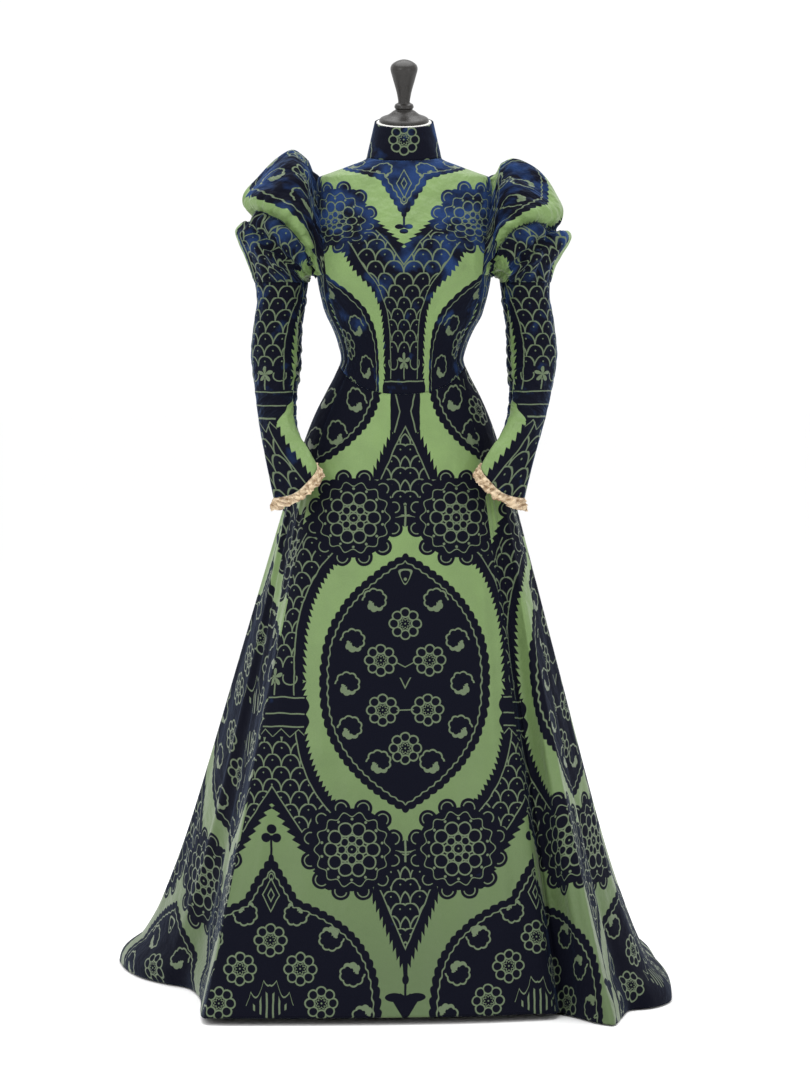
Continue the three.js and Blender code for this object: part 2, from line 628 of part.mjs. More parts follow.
const turned = KNOB.map(({ r, h }) => new THREE.Vector2(r, h));
const knobProfile = [new THREE.Vector2(0, 0), ...turned, new THREE.Vector2(0, KNOB_TOP)];
const knob = new THREE.LatheGeometry(knobProfile, 18);
knob.rotateX(PI / 2); // the lathe's axis, +Y, to +Z
knob.rotateX(Math.atan(NECK.slope)); // square to the neck's slanting top
knob.translate(0, 0, NECK.z + SEAM);
add("form_knob", knob, ebonised);

const poleTop = FORM[0].z - SEAM;
const pole = new THREE.CylinderGeometry(POLE_RADIUS, POLE_RADIUS, poleTop - BASE.hubHeight - SEAM, 20);
pole.rotateX(PI / 2);
pole.translate(0, 0, (poleTop + BASE.hubHeight + SEAM) / 2);
add("form_pole", pole, ebonised);

const baseProfile = [
  [0, 0],
  [BASE.radius, 0],
  [BASE.radius, BASE.rim],
  [BASE.radius - 18, BASE.height],
  [BASE.hub + 26, BASE.height],
  [BASE.hub, BASE.hubHeight - 8],
  [BASE.hub - 8, BASE.hubHeight],
  [0, BASE.hubHeight],
].map(([r, h]) => new THREE.Vector2(r, h));
const base = new THREE.LatheGeometry(baseProfile, 32);
base.rotateX(PI / 2);
add("form_base", base, ebonised);

export default gown;
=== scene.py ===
# %% [markdown]
# # A tea gown of voided velvet on a dress form
# The gown is a fitted bodice with a stand collar, sleeves with gathered two-tier heads, and a
# skirt that falls from the hip into a long train. Its cloth is voided velvet: navy pile stands
# on a green satin ground, and the ground shows wherever the weaver left the pile out. We build
# each cut piece as its own thin sheet on the form of its solid, then weave the pattern in nodes.

import math
from functools import partial

import bmesh
import bpy
import numpy as np
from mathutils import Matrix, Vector


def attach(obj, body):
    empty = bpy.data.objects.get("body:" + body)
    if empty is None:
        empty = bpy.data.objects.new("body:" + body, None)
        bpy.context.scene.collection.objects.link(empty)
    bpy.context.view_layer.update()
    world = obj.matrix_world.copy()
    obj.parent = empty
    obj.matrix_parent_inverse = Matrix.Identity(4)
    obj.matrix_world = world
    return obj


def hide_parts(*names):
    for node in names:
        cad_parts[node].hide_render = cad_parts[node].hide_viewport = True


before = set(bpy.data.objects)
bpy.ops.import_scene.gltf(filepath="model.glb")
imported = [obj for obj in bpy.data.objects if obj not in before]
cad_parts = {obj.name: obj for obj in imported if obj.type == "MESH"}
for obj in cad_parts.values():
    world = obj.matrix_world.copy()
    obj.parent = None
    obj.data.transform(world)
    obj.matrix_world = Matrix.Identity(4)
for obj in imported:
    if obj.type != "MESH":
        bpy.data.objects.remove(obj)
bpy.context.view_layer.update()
scene = bpy.context.scene
MM = 0.001


def add_object(name, data):
    thing = bpy.data.objects.new(name, data)
    scene.collection.objects.link(thing)
    return thing


print("the frame holds", len(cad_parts), "solids")

# %% [markdown]
# ## The camera
# A figure this tall is best seen from well away with a long lens, so that its verticals stay
# upright. The lens looks level from chest height, and the shift lets it take in the train.

# %% Set up the camera
CAMERA_PLACE = (0.0, -6.5, 1.05)
LENS = 131.3
SHIFT_ACROSS = 0.0009
SHIFT_DOWN = -0.175

camera_data = bpy.data.cameras.new("camera")
camera_data.lens = LENS
camera_data.sensor_width = 36.0
camera_data.shift_x = SHIFT_ACROSS
camera_data.shift_y = SHIFT_DOWN
camera = add_object("camera", camera_data)
camera.location = CAMERA_PLACE
camera.rotation_euler = (math.radians(90.0), 0.0, 0.0)
scene.camera = camera
print("camera", CAMERA_PLACE, "lens", LENS)

# %% [markdown]
# ## Smooth tables
# A dressmaker's block is a list of girths at heights. We keep each list as a table in
# millimetres and run a smooth curve through every column, one that never swings past its rows,
# so a few rows give a whole body.


# %% Turn a table's columns into curves
def column(places, values):
    """A smooth function through the rows that never passes their values."""
    order = np.argsort(places)
    x = np.asarray(places, dtype=float)[order]
    y = np.asarray(values, dtype=float)[order]
    step = np.diff(x)
    slope = np.diff(y) / step
    near = 2 * step[1:] + step[:-1]
    far = step[1:] + 2 * step[:-1]
    bends = slope[:-1] * slope[1:] <= 0
    before = np.where(bends, 1.0, slope[:-1])
    after = np.where(bends, 1.0, slope[1:])
    inner = np.where(bends, 0.0, (near + far) / (near / before + far / after))
    tangent = np.concatenate([slope[:1], inner, slope[-1:]])

    def curve(place):
        place = np.clip(place, x[0], x[-1])
        i = np.clip(np.searchsorted(x, place) - 1, 0, len(step) - 1)
        t = (place - x[i]) / step[i]
        rest = 1 - t
        rising = rest**2 * ((1 + 2 * t) * y[i] + t * step[i] * tangent[i])
        falling = t**2 * ((3 - 2 * t) * y[i + 1] - rest * step[i] * tangent[i + 1])
        return rising + falling

    return curve


def columns(names, rows):
    """Every column of a table as a curve over its first one."""
    table = np.array(rows, dtype=float)
    pairs = enumerate(names.split(), start=1)
    return {name: column(table[:, 0], table[:, i]) for i, name in pairs}


def lerp(start, end, share):
    return start + (end - start) * share


def smooth(share):
    share = np.clip(share, 0, 1)
    return share * share * (3 - 2 * share)


half_way = float(column([0, 1, 2], [0, 1, 4])(1.5))
print("half way between rows of 1 and 4 the curve gives", round(half_way, 2))

# %% [markdown]
# ## The body of the gown
# Level sections carry the bodice and the top of the skirt. Each is a slightly squared ellipse,
# deeper in front at the bust and behind at the hip, as a corseted figure is.

# %% The sections from hip to neck
ROUND = 2.3
WAIST_SEAM_FRONT = 980
WAIST_SEAM_SIDE = 1026
WAIST_GAP = 0.5
HIP_Z = 903
UNDERARM_Z = 1175
SHOULDER_Z = 1335
NECK_FRONT_Z = 1361
NECK_SIDE_Z = 1368
NECK_BACK_Z = 1385

SECTIONS = [  # height, half width, depth in front and behind, shift
    (780, 196, 150, 220, -8),
    (860, 172, 128, 178, -6),
    (903, 159, 117, 156, -5),
    (950, 141, 107, 132, -4),
    (985, 124, 99, 112, -3),
    (1010, 111, 93, 95, -3),
    (1038, 101, 89, 83, -3),
    (1062, 106, 93, 82, -2),
    (1085, 115, 102, 84, -1),
    (1110, 128, 115, 88, 0),
    (1138, 137, 125, 91, 0),
    (1175, 144, 131, 95, 0),
    (1210, 147, 130, 98, 0),
    (1255, 149, 116, 99, 0),
    (1300, 148, 94, 94, 0),
    (1335, 142, 77, 86, 0),
    (1345, 118, 71, 80, 0),
    (1355, 91, 65, 74, 0),
    (1368, 62, 59, 67, 0),
    (1385, 59, 57, 61, 0),
]
body = columns("half front back shift", SECTIONS)


def section(angle, z):
    """A point of the body's level section, at an angle round from centre front."""
    s = np.sin(angle)
    c = np.cos(angle)
    power = 2 / ROUND
    depth = np.where(c > 0, body["front"](z), body["back"](z))
    x = body["shift"](z) + body["half"](z) * np.sign(s) * np.abs(s) ** power
    y = -depth * np.sign(c) * np.abs(c) ** power
    return np.stack(np.broadcast_arrays(x, y, z), axis=-1)


def waist_seam(angle):
    return lerp(WAIST_SEAM_SIDE, WAIST_SEAM_FRONT, np.maximum(0, np.cos(angle)) ** 2)


def neckline(angle):
    c = np.cos(angle)
    end = np.where(c > 0, NECK_FRONT_Z, NECK_BACK_Z)
    return lerp(NECK_SIDE_Z, end, c * c)


print("body sections from", SECTIONS[0][0], "to", SECTIONS[-1][0], "mm")

# %% [markdown]
# ## The bodice
# The bodice is drafted from the waist seam to the neckline. Up to the underarm its side seams
# stand still; above it they run in along the armhole to the shoulder.

# %% The bodice's surface and armhole
AT_UNDERARM = 0.45
AT_SHOULDER = 0.75
BODICE_SIDE_FRONT = math.radians(62)
BODICE_SIDE_BACK = math.radians(118)
ARMHOLE_GAP = 1
ARMHOLE_CORNER = 0.75
ARMHOLE_POWER = 2.2  # how late the armhole's edge turns in
QUARTER = math.pi / 2


def bodice(angle, up):
    low = lerp(waist_seam(angle) + WAIST_GAP / 2, UNDERARM_Z, up / AT_UNDERARM)
    middle_share = (up - AT_UNDERARM) / (AT_SHOULDER - AT_UNDERARM)
    middle = lerp(UNDERARM_Z, SHOULDER_Z, middle_share)
    high = lerp(SHOULDER_Z, neckline(angle), (up - AT_SHOULDER) / (1 - AT_SHOULDER))
    z = np.where(up <= AT_UNDERARM, low, np.where(up <= AT_SHOULDER, middle, high))
    return section(angle, z)


def armhole_curve(up):
    share = np.clip((up - AT_UNDERARM) / (AT_SHOULDER - AT_UNDERARM), 0, 1)
    return 1 - share**ARMHOLE_POWER


def front_edge(up):
    return lerp(QUARTER, BODICE_SIDE_FRONT, armhole_curve(up))


def back_edge(up):
    return lerp(QUARTER, BODICE_SIDE_BACK, armhole_curve(up))


def armhole(side, around):
    """The armhole's edge: 0 at the shoulder, half a turn at the underarm."""
    turned = np.arctan2(np.sin(around), np.cos(around))
    share = np.abs(turned) / math.pi
    behind = side * np.sin(turned) > 0
    falling = lerp(AT_SHOULDER, AT_UNDERARM, share / ARMHOLE_CORNER)
    up = np.where(share < ARMHOLE_CORNER, falling, AT_UNDERARM)
    along = np.where(behind, back_edge(up), front_edge(up))
    corner = np.where(behind, BODICE_SIDE_BACK, BODICE_SIDE_FRONT)
    below = lerp(corner, QUARTER, (share - ARMHOLE_CORNER) / (1 - ARMHOLE_CORNER))
    point = bodice(side * np.where(share < ARMHOLE_CORNER, along, below), up)
    point[..., 0] += side * ARMHOLE_GAP
    return point


print("shoulder point", np.round(armhole(1, np.array(0.0)), 1), "mm")

# %% [markdown]
# ## The skirt
# Below the hip the skirt runs straight from each fold's start to where that fold meets the
# floor. A row of the hem table is one ridge or valley. The front hem clears the floor; towards
# the back the cloth sweeps out late, lies down and rolls over at its edge.

# %% The hem and the skirt's surface
ON_FLOOR = 2.9
SWEEP_POWER = 10
ROLL_FROM = 0.945
ROLL_OUT = 13
HIP_SHARE = 0.12
LYING_SWEEP = 0.15
ROLL_MIDDLE_Y = 100  # the hem rolls out from here

HEM = [  # angle, where the fold meets the floor, and how far it sweeps
    (-170, -76, 738, ON_FLOOR, 0.3),
    (-161, -134, 688, ON_FLOOR, 0.28),
    (-152, -206, 690, ON_FLOOR, 0.28),
    (-144, -256, 618, ON_FLOOR, 0.26),
    (-135, -332, 602, ON_FLOOR, 0.26),
    (-127, -370, 510, ON_FLOOR, 0.24),
    (-119, -442, 462, ON_FLOOR, 0.22),
    (-111, -468, 372, ON_FLOOR, 0.2),
    (-103, -490, 290, ON_FLOOR, 0.18),
    (-96, -474, 185, ON_FLOOR, 0.18),
    (-90, -438, 85, ON_FLOOR, 0.18),
    (-83, -396, 25, ON_FLOOR, 0.15),
    (-75, -356, -20, ON_FLOOR, 0.1),
    (-67, -328, -150, ON_FLOOR, 0.05),
    (-60, -322, -272, 4, 0),
    (-55, -311, -366, 11, 0),
    (-45, -262, -373, 12, 0),
    (-28, -160, -372, 12, 0),
    (0, -20, -366, 12, 0),
    (25, 105, -352, 12, 0),
    (40, 186, -334, 12, 0),
    (50, 237, -316, 10, 0),
    (55, 247, -278, 6, 0),
    (61, 266, -300, ON_FLOOR, 0),
    (67, 300, -358, ON_FLOOR, 0.02),
    (72, 325, -380, ON_FLOOR, 0.03),
    (77, 342, -312, ON_FLOOR, 0.06),
    (83, 360, -238, ON_FLOOR, 0.1),
    (89, 396, -216, ON_FLOOR, 0.15),
    (95, 432, -140, ON_FLOOR, 0.18),
    (101, 438, -10, ON_FLOOR, 0.18),
    (108, 430, 140, ON_FLOOR, 0.2),
    (116, 428, 285, ON_FLOOR, 0.22),
    (124, 394, 372, ON_FLOOR, 0.24),
    (132, 388, 486, ON_FLOOR, 0.26),
    (140, 324, 534, ON_FLOOR, 0.26),
    (149, 288, 632, ON_FLOOR, 0.28),
    (158, 200, 648, ON_FLOOR, 0.28),
    (167, 130, 722, ON_FLOOR, 0.3),
    (176, 34, 704, ON_FLOOR, 0.3),
]
hem_rows = [(math.radians(angle + lap), *rest) for lap in (-360, 0, 360) for angle, *rest in HEM]
hem = columns("x y z sweep", hem_rows)


def skirt(angle, up):
    down = 1 - up
    hip_line = lerp(waist_seam(angle) - WAIST_GAP / 2, HIP_Z, np.minimum(1, down / HIP_SHARE))
    top = section(angle, hip_line)
    share = np.clip((down - HIP_SHARE) / (1 - HIP_SHARE), 0, 1)
    sweep = hem["sweep"](angle)
    run = lerp(share, share**SWEEP_POWER, sweep)
    foot_x = hem["x"](angle)
    foot_y = hem["y"](angle)
    reach = np.hypot(foot_x, foot_y - ROLL_MIDDLE_Y)
    rolled = np.sin(math.pi * np.clip((share - ROLL_FROM) / (1 - ROLL_FROM), 0, 1))
    roll = ROLL_OUT * np.minimum(1, sweep / LYING_SWEEP) * rolled
    x = lerp(top[..., 0], foot_x, run) + roll * foot_x / reach
    y = lerp(top[..., 1], foot_y, run) + roll * (foot_y - ROLL_MIDDLE_Y) / reach
    z = np.where(share > 0, lerp(HIP_Z, hem["z"](angle), share), top[..., 2])
    return np.stack(np.broadcast_arrays(x, y, z), axis=-1)


print("hem of", len(HEM), "ridges and valleys")

# %% [markdown]
# ## The sleeves
# The sleeve head is gathered into the armhole and again half way down, which makes its two
# tiers. Its rings fan out from the armhole's plane to level. Below it a close sleeve bends
# forward at the elbow and ends long over the hand.

# %% The sleeve head's and the arm's surfaces
PUFF_PIVOT = (146, 2, 1163)
PUFF_INNER = 12
PUFF_START = 4
PUFF_RISE = 0.1
PUFF_FOLDS = 7
PUFF_FOLD_HEIGHT = 4.5
PUFF_FOLD_TWIST = 18

PUFF = [  # lean, reach on the right and on the left, depth
    (4, 203, 196, 74),
    (10, 220, 207, 84),
    (17, 212, 202, 91),
    (25, 200, 193, 95),
    (34, 186, 180, 96),
    (42, 170, 164, 92),
    (48, 149, 144, 80),
    (52, 150, 141, 79),
    (57, 157, 143, 86),
    (62, 146, 137, 84),
    (68, 129, 119, 74),
    (75, 116, 104, 65),
    (83, 106, 98, 55),
    (90, 101, 96, 49),
]
ARM = [  # place up the arm, its middle, and how its ring stands
    (1, 202, 2, 1162.6, 44, 0, 49, 0, 0),
    (0.91, 202, 4, 1134, 41, 0, 46, 0, 0),
    (0.81, 207, 7, 1101, 40.5, 0, 44, 0, 0),
    (0.71, 210, 8, 1068, 41.5, 0, 43, 2, 0),
    (0.64, 211, 4, 1046, 42, 0, 42, 7, 0),
    (0.55, 210, -9, 1017, 40, 0, 39, 14, 0),
    (0.45, 210, -28, 985, 35, 0, 35, 17, 0),
    (0.34, 208, -50, 951, 32, 2, 32, 17, 1),
    (0.24, 204, -71, 921, 30, 6, 31, 15, 5),
    (0.15, 198, -89, 895, 29, 13, 31, 11, 11),
    (0.07, 190, -103, 869, 29, 24, 33, 4, 20),
    (0, 183, -115, 845, 29, 32, 36, -4, 28),
]
puff_table = columns("right left depth", PUFF)
arm = columns("x y z out drop depth rise turn", ARM)
NAMES = {1: "left", -1: "right"}
CARRY = {1: 16, -1: 0}  # how far in the lower arm is carried
FORWARD = {1: 9, -1: 0}  # and how far forward
CARRY_FROM = 0.6
TAPER_FROM = 0.85
LEVEL = 90  # the lean of the sleeve head's last ring


def puff_ring(side, around, lean):
    reach = puff_table[NAMES[side]](lean)
    full = np.sin(math.pi * np.minimum(1, lean / LEVEL)) ** 0.5
    wave = np.cos(PUFF_FOLDS * around + side + lean / PUFF_FOLD_TWIST)
    fold = PUFF_FOLD_HEIGHT * full * wave * (0.5 + 0.5 * np.cos(around))
    half = (reach - PUFF_INNER) / 2
    along = PUFF_INNER + half + (half + fold) * np.cos(around)
    x = side * (PUFF_PIVOT[0] + np.sin(np.radians(lean)) * along)
    y = PUFF_PIVOT[1] + side * np.sin(around) * (puff_table["depth"](lean) + fold)
    z = PUFF_PIVOT[2] + np.cos(np.radians(lean)) * along
    return np.stack(np.broadcast_arrays(x, y, z), axis=-1)


def puff(side, around, up):
    down = 1 - up
    lean = lerp(PUFF_START, LEVEL, np.clip((down - PUFF_RISE) / (1 - PUFF_RISE), 0, 1))
    ring = puff_ring(side, around, lean)
    rise = np.clip(down / PUFF_RISE, 0, 1)[..., None]
    return lerp(armhole(side, around), ring, rise)


def sleeve(side, around, up):
    carried = smooth(1 - up / CARRY_FROM)
    ahead = -side * np.sin(around)
    wide = puff_table[NAMES[side]](LEVEL)
    widest = max(puff_table["left"](LEVEL), puff_table["right"](LEVEL))
    taper = (wide - widest) / 2 * smooth((up - TAPER_FROM) / (1 - TAPER_FROM))
    turned = arm["turn"](up) * smooth(ahead)
    middle = arm["x"](up) + taper - CARRY[side] * carried - turned
    x = side * (middle + np.cos(around) * (arm["out"](up) + taper))
    y = arm["y"](up) - FORWARD[side] * carried - ahead * arm["depth"](up)
    z = arm["z"](up) - np.cos(around) * arm["drop"](up) + ahead * arm["rise"](up)
    return np.stack(np.broadcast_arrays(x, y, z), axis=-1)


print("sleeve surfaces ready")

# %% [markdown]
# ## Drawing with numbers
# A woven pattern is a drawing, and in nodes a drawing is arithmetic: distances to circles,
# ovals and lines, cut off at a width. Writing each Math node by hand would bury the drawing, so
# a small helper lets ordinary Python arithmetic add the nodes. Widths are in millimetres.

# %% A number that changes over the cloth
EDGE_BLUR = 0.9  # how far a woven edge takes to change, in millimetres


def feed(tree, place, value):
    """Gives a socket a field, a colour or a plain number."""
    if isinstance(value, Field):
        tree.links.new(value.socket, place)
    elif isinstance(value, tuple):
        place.default_value = (*value, 1.0)
    else:
        place.default_value = value


class Field:
    """What a socket gives over the cloth. Arithmetic on a number adds Math nodes."""

    def __init__(self, tree, socket):
        self.tree = tree
        self.socket = socket

    def math(self, operation, *others, clamp=False):
        node = self.tree.nodes.new("ShaderNodeMath")
        node.operation = operation
        node.use_clamp = clamp
        for place, value in zip(node.inputs, (self, *others)):
            feed(self.tree, place, value)
        return Field(self.tree, node.outputs[0])

    def __add__(self, other):
        return self.math("ADD", other)

    def __sub__(self, other):
        return self.math("SUBTRACT", other)

    def __mul__(self, other):
        return self.math("MULTIPLY", other)

    def __truediv__(self, other):
        return self.math("DIVIDE", other)

    def __pow__(self, other):
        return self.math("POWER", other)

    def __abs__(self):
        return self.math("ABSOLUTE")

    def __rsub__(self, whole):
        return self.math("MULTIPLY_ADD", -1.0, whole)

    def cos(self):
        return self.math("COSINE")

    def limited(self, low, high):
        return self.math("MAXIMUM", low).math("MINIMUM", high)

    def folded(self, half):
        """Back and forth between 0 and half, like a mirrored repeat."""
        return self.math("PINGPONG", half)

    def wrapped(self, half):
        """Repeated, and counted from -half to half."""
        return self.math("WRAP", half, -half)

    def below(self, edge):
        """1 where the number is under the edge, else 0."""
        if isinstance(edge, Field):
            return (edge - self).math("MULTIPLY_ADD", 1 / EDGE_BLUR, 0.5, clamp=True)
        return self.math("MULTIPLY_ADD", -1 / EDGE_BLUR, 0.5 + edge / EDGE_BLUR, clamp=True)

    def above(self, edge):
        return 1.0 - self.below(edge)

    def line(self, place, half_width):
        """A line where the number passes the place."""
        return abs(self - place).below(half_width)


def union(*masks):
    whole = masks[0]
    for mask in masks[1:]:
        whole = whole.math("MAXIMUM", mask)
    return whole


def both(*masks):
    whole = masks[0]
    for mask in masks[1:]:
        whole = whole * mask
    return whole


def smaller(a, b):
    return a.math("MINIMUM", b)


def length(x, y):
    return (y * y).math("ADD", x * x).math("SQRT")


def turn(x, y):
    """The angle round a middle, from straight up."""
    return x.math("ARCTAN2", y)


print("fields ready, edges blurred over", EDGE_BLUR, "mm")


# %% Start a node group and use it
def new_group(name, inputs, outputs, draw):
    """A group of numbers, drawn by a function. An input called Cloth is a place."""
    tree = bpy.data.node_groups.new(name, "ShaderNodeTree")
    for label in inputs:
        kind = "NodeSocketVector" if label == "Cloth" else "NodeSocketFloat"
        tree.interface.new_socket(label, in_out="INPUT", socket_type=kind)
    for label in outputs:
        tree.interface.new_socket(label, in_out="OUTPUT", socket_type="NodeSocketFloat")
    entry = tree.nodes.new("NodeGroupInput")
    leave = tree.nodes.new("NodeGroupOutput")
    drawn = draw(*[Field(tree, entry.outputs[label]) for label in inputs])
    for label, field in zip(outputs, drawn):
        feed(tree, leave.inputs[label], field)
    return tree


def use(group, *inputs):
    """Places a group beside its first input and returns its outputs as fields."""
    tree = inputs[0].tree
    node = tree.nodes.new("ShaderNodeGroup")
    node.node_tree = group
    for place, value in zip(node.inputs, inputs):
        feed(tree, place, value)
    return [Field(tree, socket) for socket in node.outputs]


print("node groups can be drawn")

# %% [markdown]
# ## The motifs
# The weaver built the design from a few small motifs: rosettes, big layered flower heads,
# scroll curls and rows of scales with a dot in each. Each is a node group that takes the
# distances across and down from the motif's middle and gives a mask of the satin that shows.


# %% Rosettes and petals
LINE = 1.1  # half the width of most drawn lines


def petals(r, angle, count, ring, radius):
    """Distance from round petals in a ring, cut off where they meet."""
    along = angle.folded(math.pi / count).cos() * r
    square = (r * r + ring * ring) - along * (2 * ring)
    return square.math("MAXIMUM", 0.0).math("SQRT") - radius


def draw_rosette(x, y):
    r = length(x, y)
    angle = turn(x, y)
    petal = petals(r, angle, 8, 18.0, 7.4)
    star = r + (angle * 8.0).cos() * 1.6
    return [union(petal.line(0.0, 1.25), star.line(7.4, 0.9), r.below(1.4))]


def draw_flower_head(x, y):
    r = length(x, y)
    angle = turn(x, y)
    small = petals(r, angle, 8, 16.5, 6.6)
    large = petals(r, angle + math.pi / 10, 10, 33.0, 10.6)
    spark = petals(r, angle, 14, 48.5, 0.0)
    star = r + (angle * 14.0).cos() * 3.6
    lobe = petals(r, angle + math.pi / 12, 12, 68.0, 14.5)
    middle = union(r.below(1.5), r.line(8.0, 1.0), small.line(0.0, LINE), large.line(0.0, 1.2))
    rim = union(spark.below(2.2), star.line(56.0, 0.9), both(lobe.line(-5.5, 0.9), r.above(68.0)))
    return union(middle, rim), smaller(lobe, r - 66.0)


FLAT = ["Across", "Down"]
rosette = new_group("rosette", FLAT, ["Satin"], draw_rosette)
flower_head = new_group("flower head", FLAT, ["Satin", "Distance"], draw_flower_head)
print("rosette", len(rosette.nodes), "nodes, flower head", len(flower_head.nodes), "nodes")


# %% Scroll curls, drops and scales
def draw_curl(x, y):
    """A spiral that winds in from its outer side, over its top, to a thick end."""
    wound = (turn(y * -1.0, x) / (2 * math.pi)).math("FRACT")
    tail = (wound - 0.6).math("MAXIMUM", 0.0)
    scallop = abs((wound * (9 * math.pi)).cos()) * 2.2
    away = abs(length(x, y) + wound * 5.0 + tail * 17.0 - scallop - 18.5)
    half = smaller(tail * 21.0, (1.0 - wound) * 36.0) + 1.4
    return [away.below(half)]


def draw_drop(x, y, size):
    narrow = abs(x) * (y / size + 1.6)
    r = length(narrow, y) - size
    return [union(r.line(0.0, 1.3), length(x, y - size * 0.3).below(2.6))]


def draw_scales(x, y, width):
    height = width * 0.68
    row = (y / height).math("FLOOR")
    high = y / height - row
    offset = row.math("MODULO", 2.0) * 0.5
    aside = (x / width + offset + 0.5).math("FRACT") - 0.5
    r = length(aside * width, (1.0 - high) * (width * 0.5))
    dot = length(aside * width, (high - 0.5) * height)
    return [union((r - width * 0.5).line(0.0, 1.05), dot.below(1.3))]


curl = new_group("scroll curl", FLAT, ["Satin"], draw_curl)
drop = new_group("drop", [*FLAT, "Size"], ["Satin"], draw_drop)
scales = new_group("scales", [*FLAT, "Width"], ["Satin"], draw_scales)
print("curl, drop and scales ready")

# %% [markdown]
# ## The lattice
# The motifs hang in an ogee lattice that repeats every two medallions across and down, with
# every second column dropped by half. Folding the cloth's coordinates back and forth does the
# mirroring for us, so one quarter of the repeat is enough. A round medallion sits at the fold's
# corner and a pointed one diagonally opposite, each in its band of open satin. Between the
# bands run serrated leaves, and in the trunks between those are fans of scales.

# %% The lattice's measures
ACROSS = 211.0  # from one column of medallions to the next
DOWN = 549.0  # from a round medallion to the level of the pointed ones
ROUND_MEDALLION = (136.0, 210.0, 1.08, 2.5)  # half width, half height, how blunt, how full
ROUND_BAND = (165.0, 260.0, 1.5, 3.0)
POINTED_MEDALLION = (173.0, 207.0, 1.5, 3.0)
TIP = (271.0, 0.6)  # where the pointed medallion's tip ends, and its slope
PEAK = (355.0, 0.667)  # the same for the band of satin round it
TRUNK = (460.0, 0.425)  # and for the trunk that comes down between two of those
HEAD_PLACE = (84.0, 270.0)
UNDER_HEADS = 215.0
NECK = (-457.0, 24.0, 42.0)  # level, half width and half height of the trunk's dark neck
CROSSED = (35.0, 56.0)  # level and half height of the bands across the other trunk
STEM = (256.0, 34.0)  # and of the stem between two flower heads
BORDER = 12.0  # the medallion's dark scalloped border
SCALLOP = 19.0
SCALLOP_REACH = 3.2
TOOTH = 12.5
TOOTH_LENGTH = 7.0
TOOTH_SLANT = -1.1
VEIN = 13.0  # from the leaf's teeth to its vein
SCALE_WIDTH = 29.0


def oval(x, y, size):
    """Distance from a medallion: full at its sides, and coming to a blunt point."""
    across, down, blunt, full = size
    out_x = x * (1 / across)
    out_y = y * (1 / down)
    whole = out_x**blunt + out_y**full
    steep_x = out_x ** (blunt - 1) * (blunt / across)
    steep_y = out_y ** (full - 1) * (full / down)
    return (whole - 1.0) / (length(steep_x, steep_y) + 0.0001)


def teeth(along, away):
    """How far a leaf's slanting teeth reach past its edge."""
    return ((along + away * TOOTH_SLANT) / TOOTH).math("FRACT") * TOOTH_LENGTH


def wedge(x, y, place):
    """Distance from a wedge that widens from its point towards smaller y."""
    point, slope = place
    return (x - (point - y) * slope) * math.cos(math.atan(slope))


print("lattice", 2 * ACROSS, "by", 2 * DOWN, "mm")


# %% What the medallions hold
def placed(group, x, y, places):
    """A motif at each of the places."""
    return [mask for at_x, at_y in places for mask in use(group, x - at_x, y - at_y)]


def lattice_round(x, y):
    """What the round medallion holds, from the top of its middle down."""
    roses = [(0, -95), (39, -35), (36, 46), (0, 108)]
    curls = [(48, -133), (83, -67), (91, 4), (87, 75), (41, 130)]
    seeds = use(drop, x, y + 172.0, 12.0)
    link = both((y - 46.0).line(0.0, 1.0), x.below(14.0))
    chevron = both((y + 24.0 + x * 0.55).line(0.0, 1.0), x.below(15.0))
    arrow = both((x - (y - 4.0) * -0.5 - 3.0).line(0.0, LINE), abs(y - 4.0).below(11.0))
    motifs = placed(rosette, x, y, roses) + placed(curl, x, y, curls)
    return union(*seeds, *motifs, link, chevron, arrow)


def lattice_pointed(x, y):
    """What the pointed medallion holds."""
    roses = [(0, 136), (47, 91), (80, 38)]
    curls = [(39, 178), (94, 139), (127, 83), (146, 17)]
    lozenge = x * 2.0 + abs(y - 207.0)
    seed = length(x * 1.5, y - 236.0)
    streak = (abs((x / 10.0).math("FRACT") - 0.5) * 10.0).below(1.5)
    height = y + x * 0.9 + abs((x * (math.pi / 20.0)).cos()) * 16.0
    flame = union(both(streak, height.below(70.0)), height.line(82.0, 1.3))
    flame = both(flame, x.below(50.0), (y - x * 0.6).above(12.0))
    lozenges = union(lozenge.line(26.0, 1.9), lozenge.line(10.0, 2.0))
    motifs = placed(rosette, x, y, roses) + placed(curl, x, y, curls)
    return union(*motifs, lozenges, seed.line(5.0, 1.0), flame)


print("medallions up to", 2 * POINTED_MEDALLION[0], "mm wide")


# %% Bands and sprigs between the medallions
def cross_bands(x, y):
    """Three dark bands with rounded ends across the trunk, and the lines between them."""
    end = abs(((y - 27.0) * (math.pi / 26.0)).math("SINE")) * 6.0
    collar = both(abs(y - 52.0).below(29.0), (x - end).below(52.0))
    rows = union(*[y.line(place, LINE) for place in (27.0, 53.0, 74.0)])
    notch = abs((x / 27.0).math("FRACT") - 0.5) * 26.0
    notches = both((y - notch).line(78.0, 1.0), abs(y - 84.0).below(7.0))
    around = turn(x, (y + 6.0) * -1.0)
    painted_sheen = length(x, y + 6.0) - abs((around * 2.5).cos()) * 15.0
    stalk = both(x.below(1.3), (y - 12.0).line(0.0, 11.0))
    arm = both((length(x - 26.0, y + 4.0) - 11.0).line(0.0, LINE), y.above(-9.0))
    lines = both(union(rows, notches, painted_sheen.below(0.0), stalk, arm), x.below(50.0))
    return collar, lines


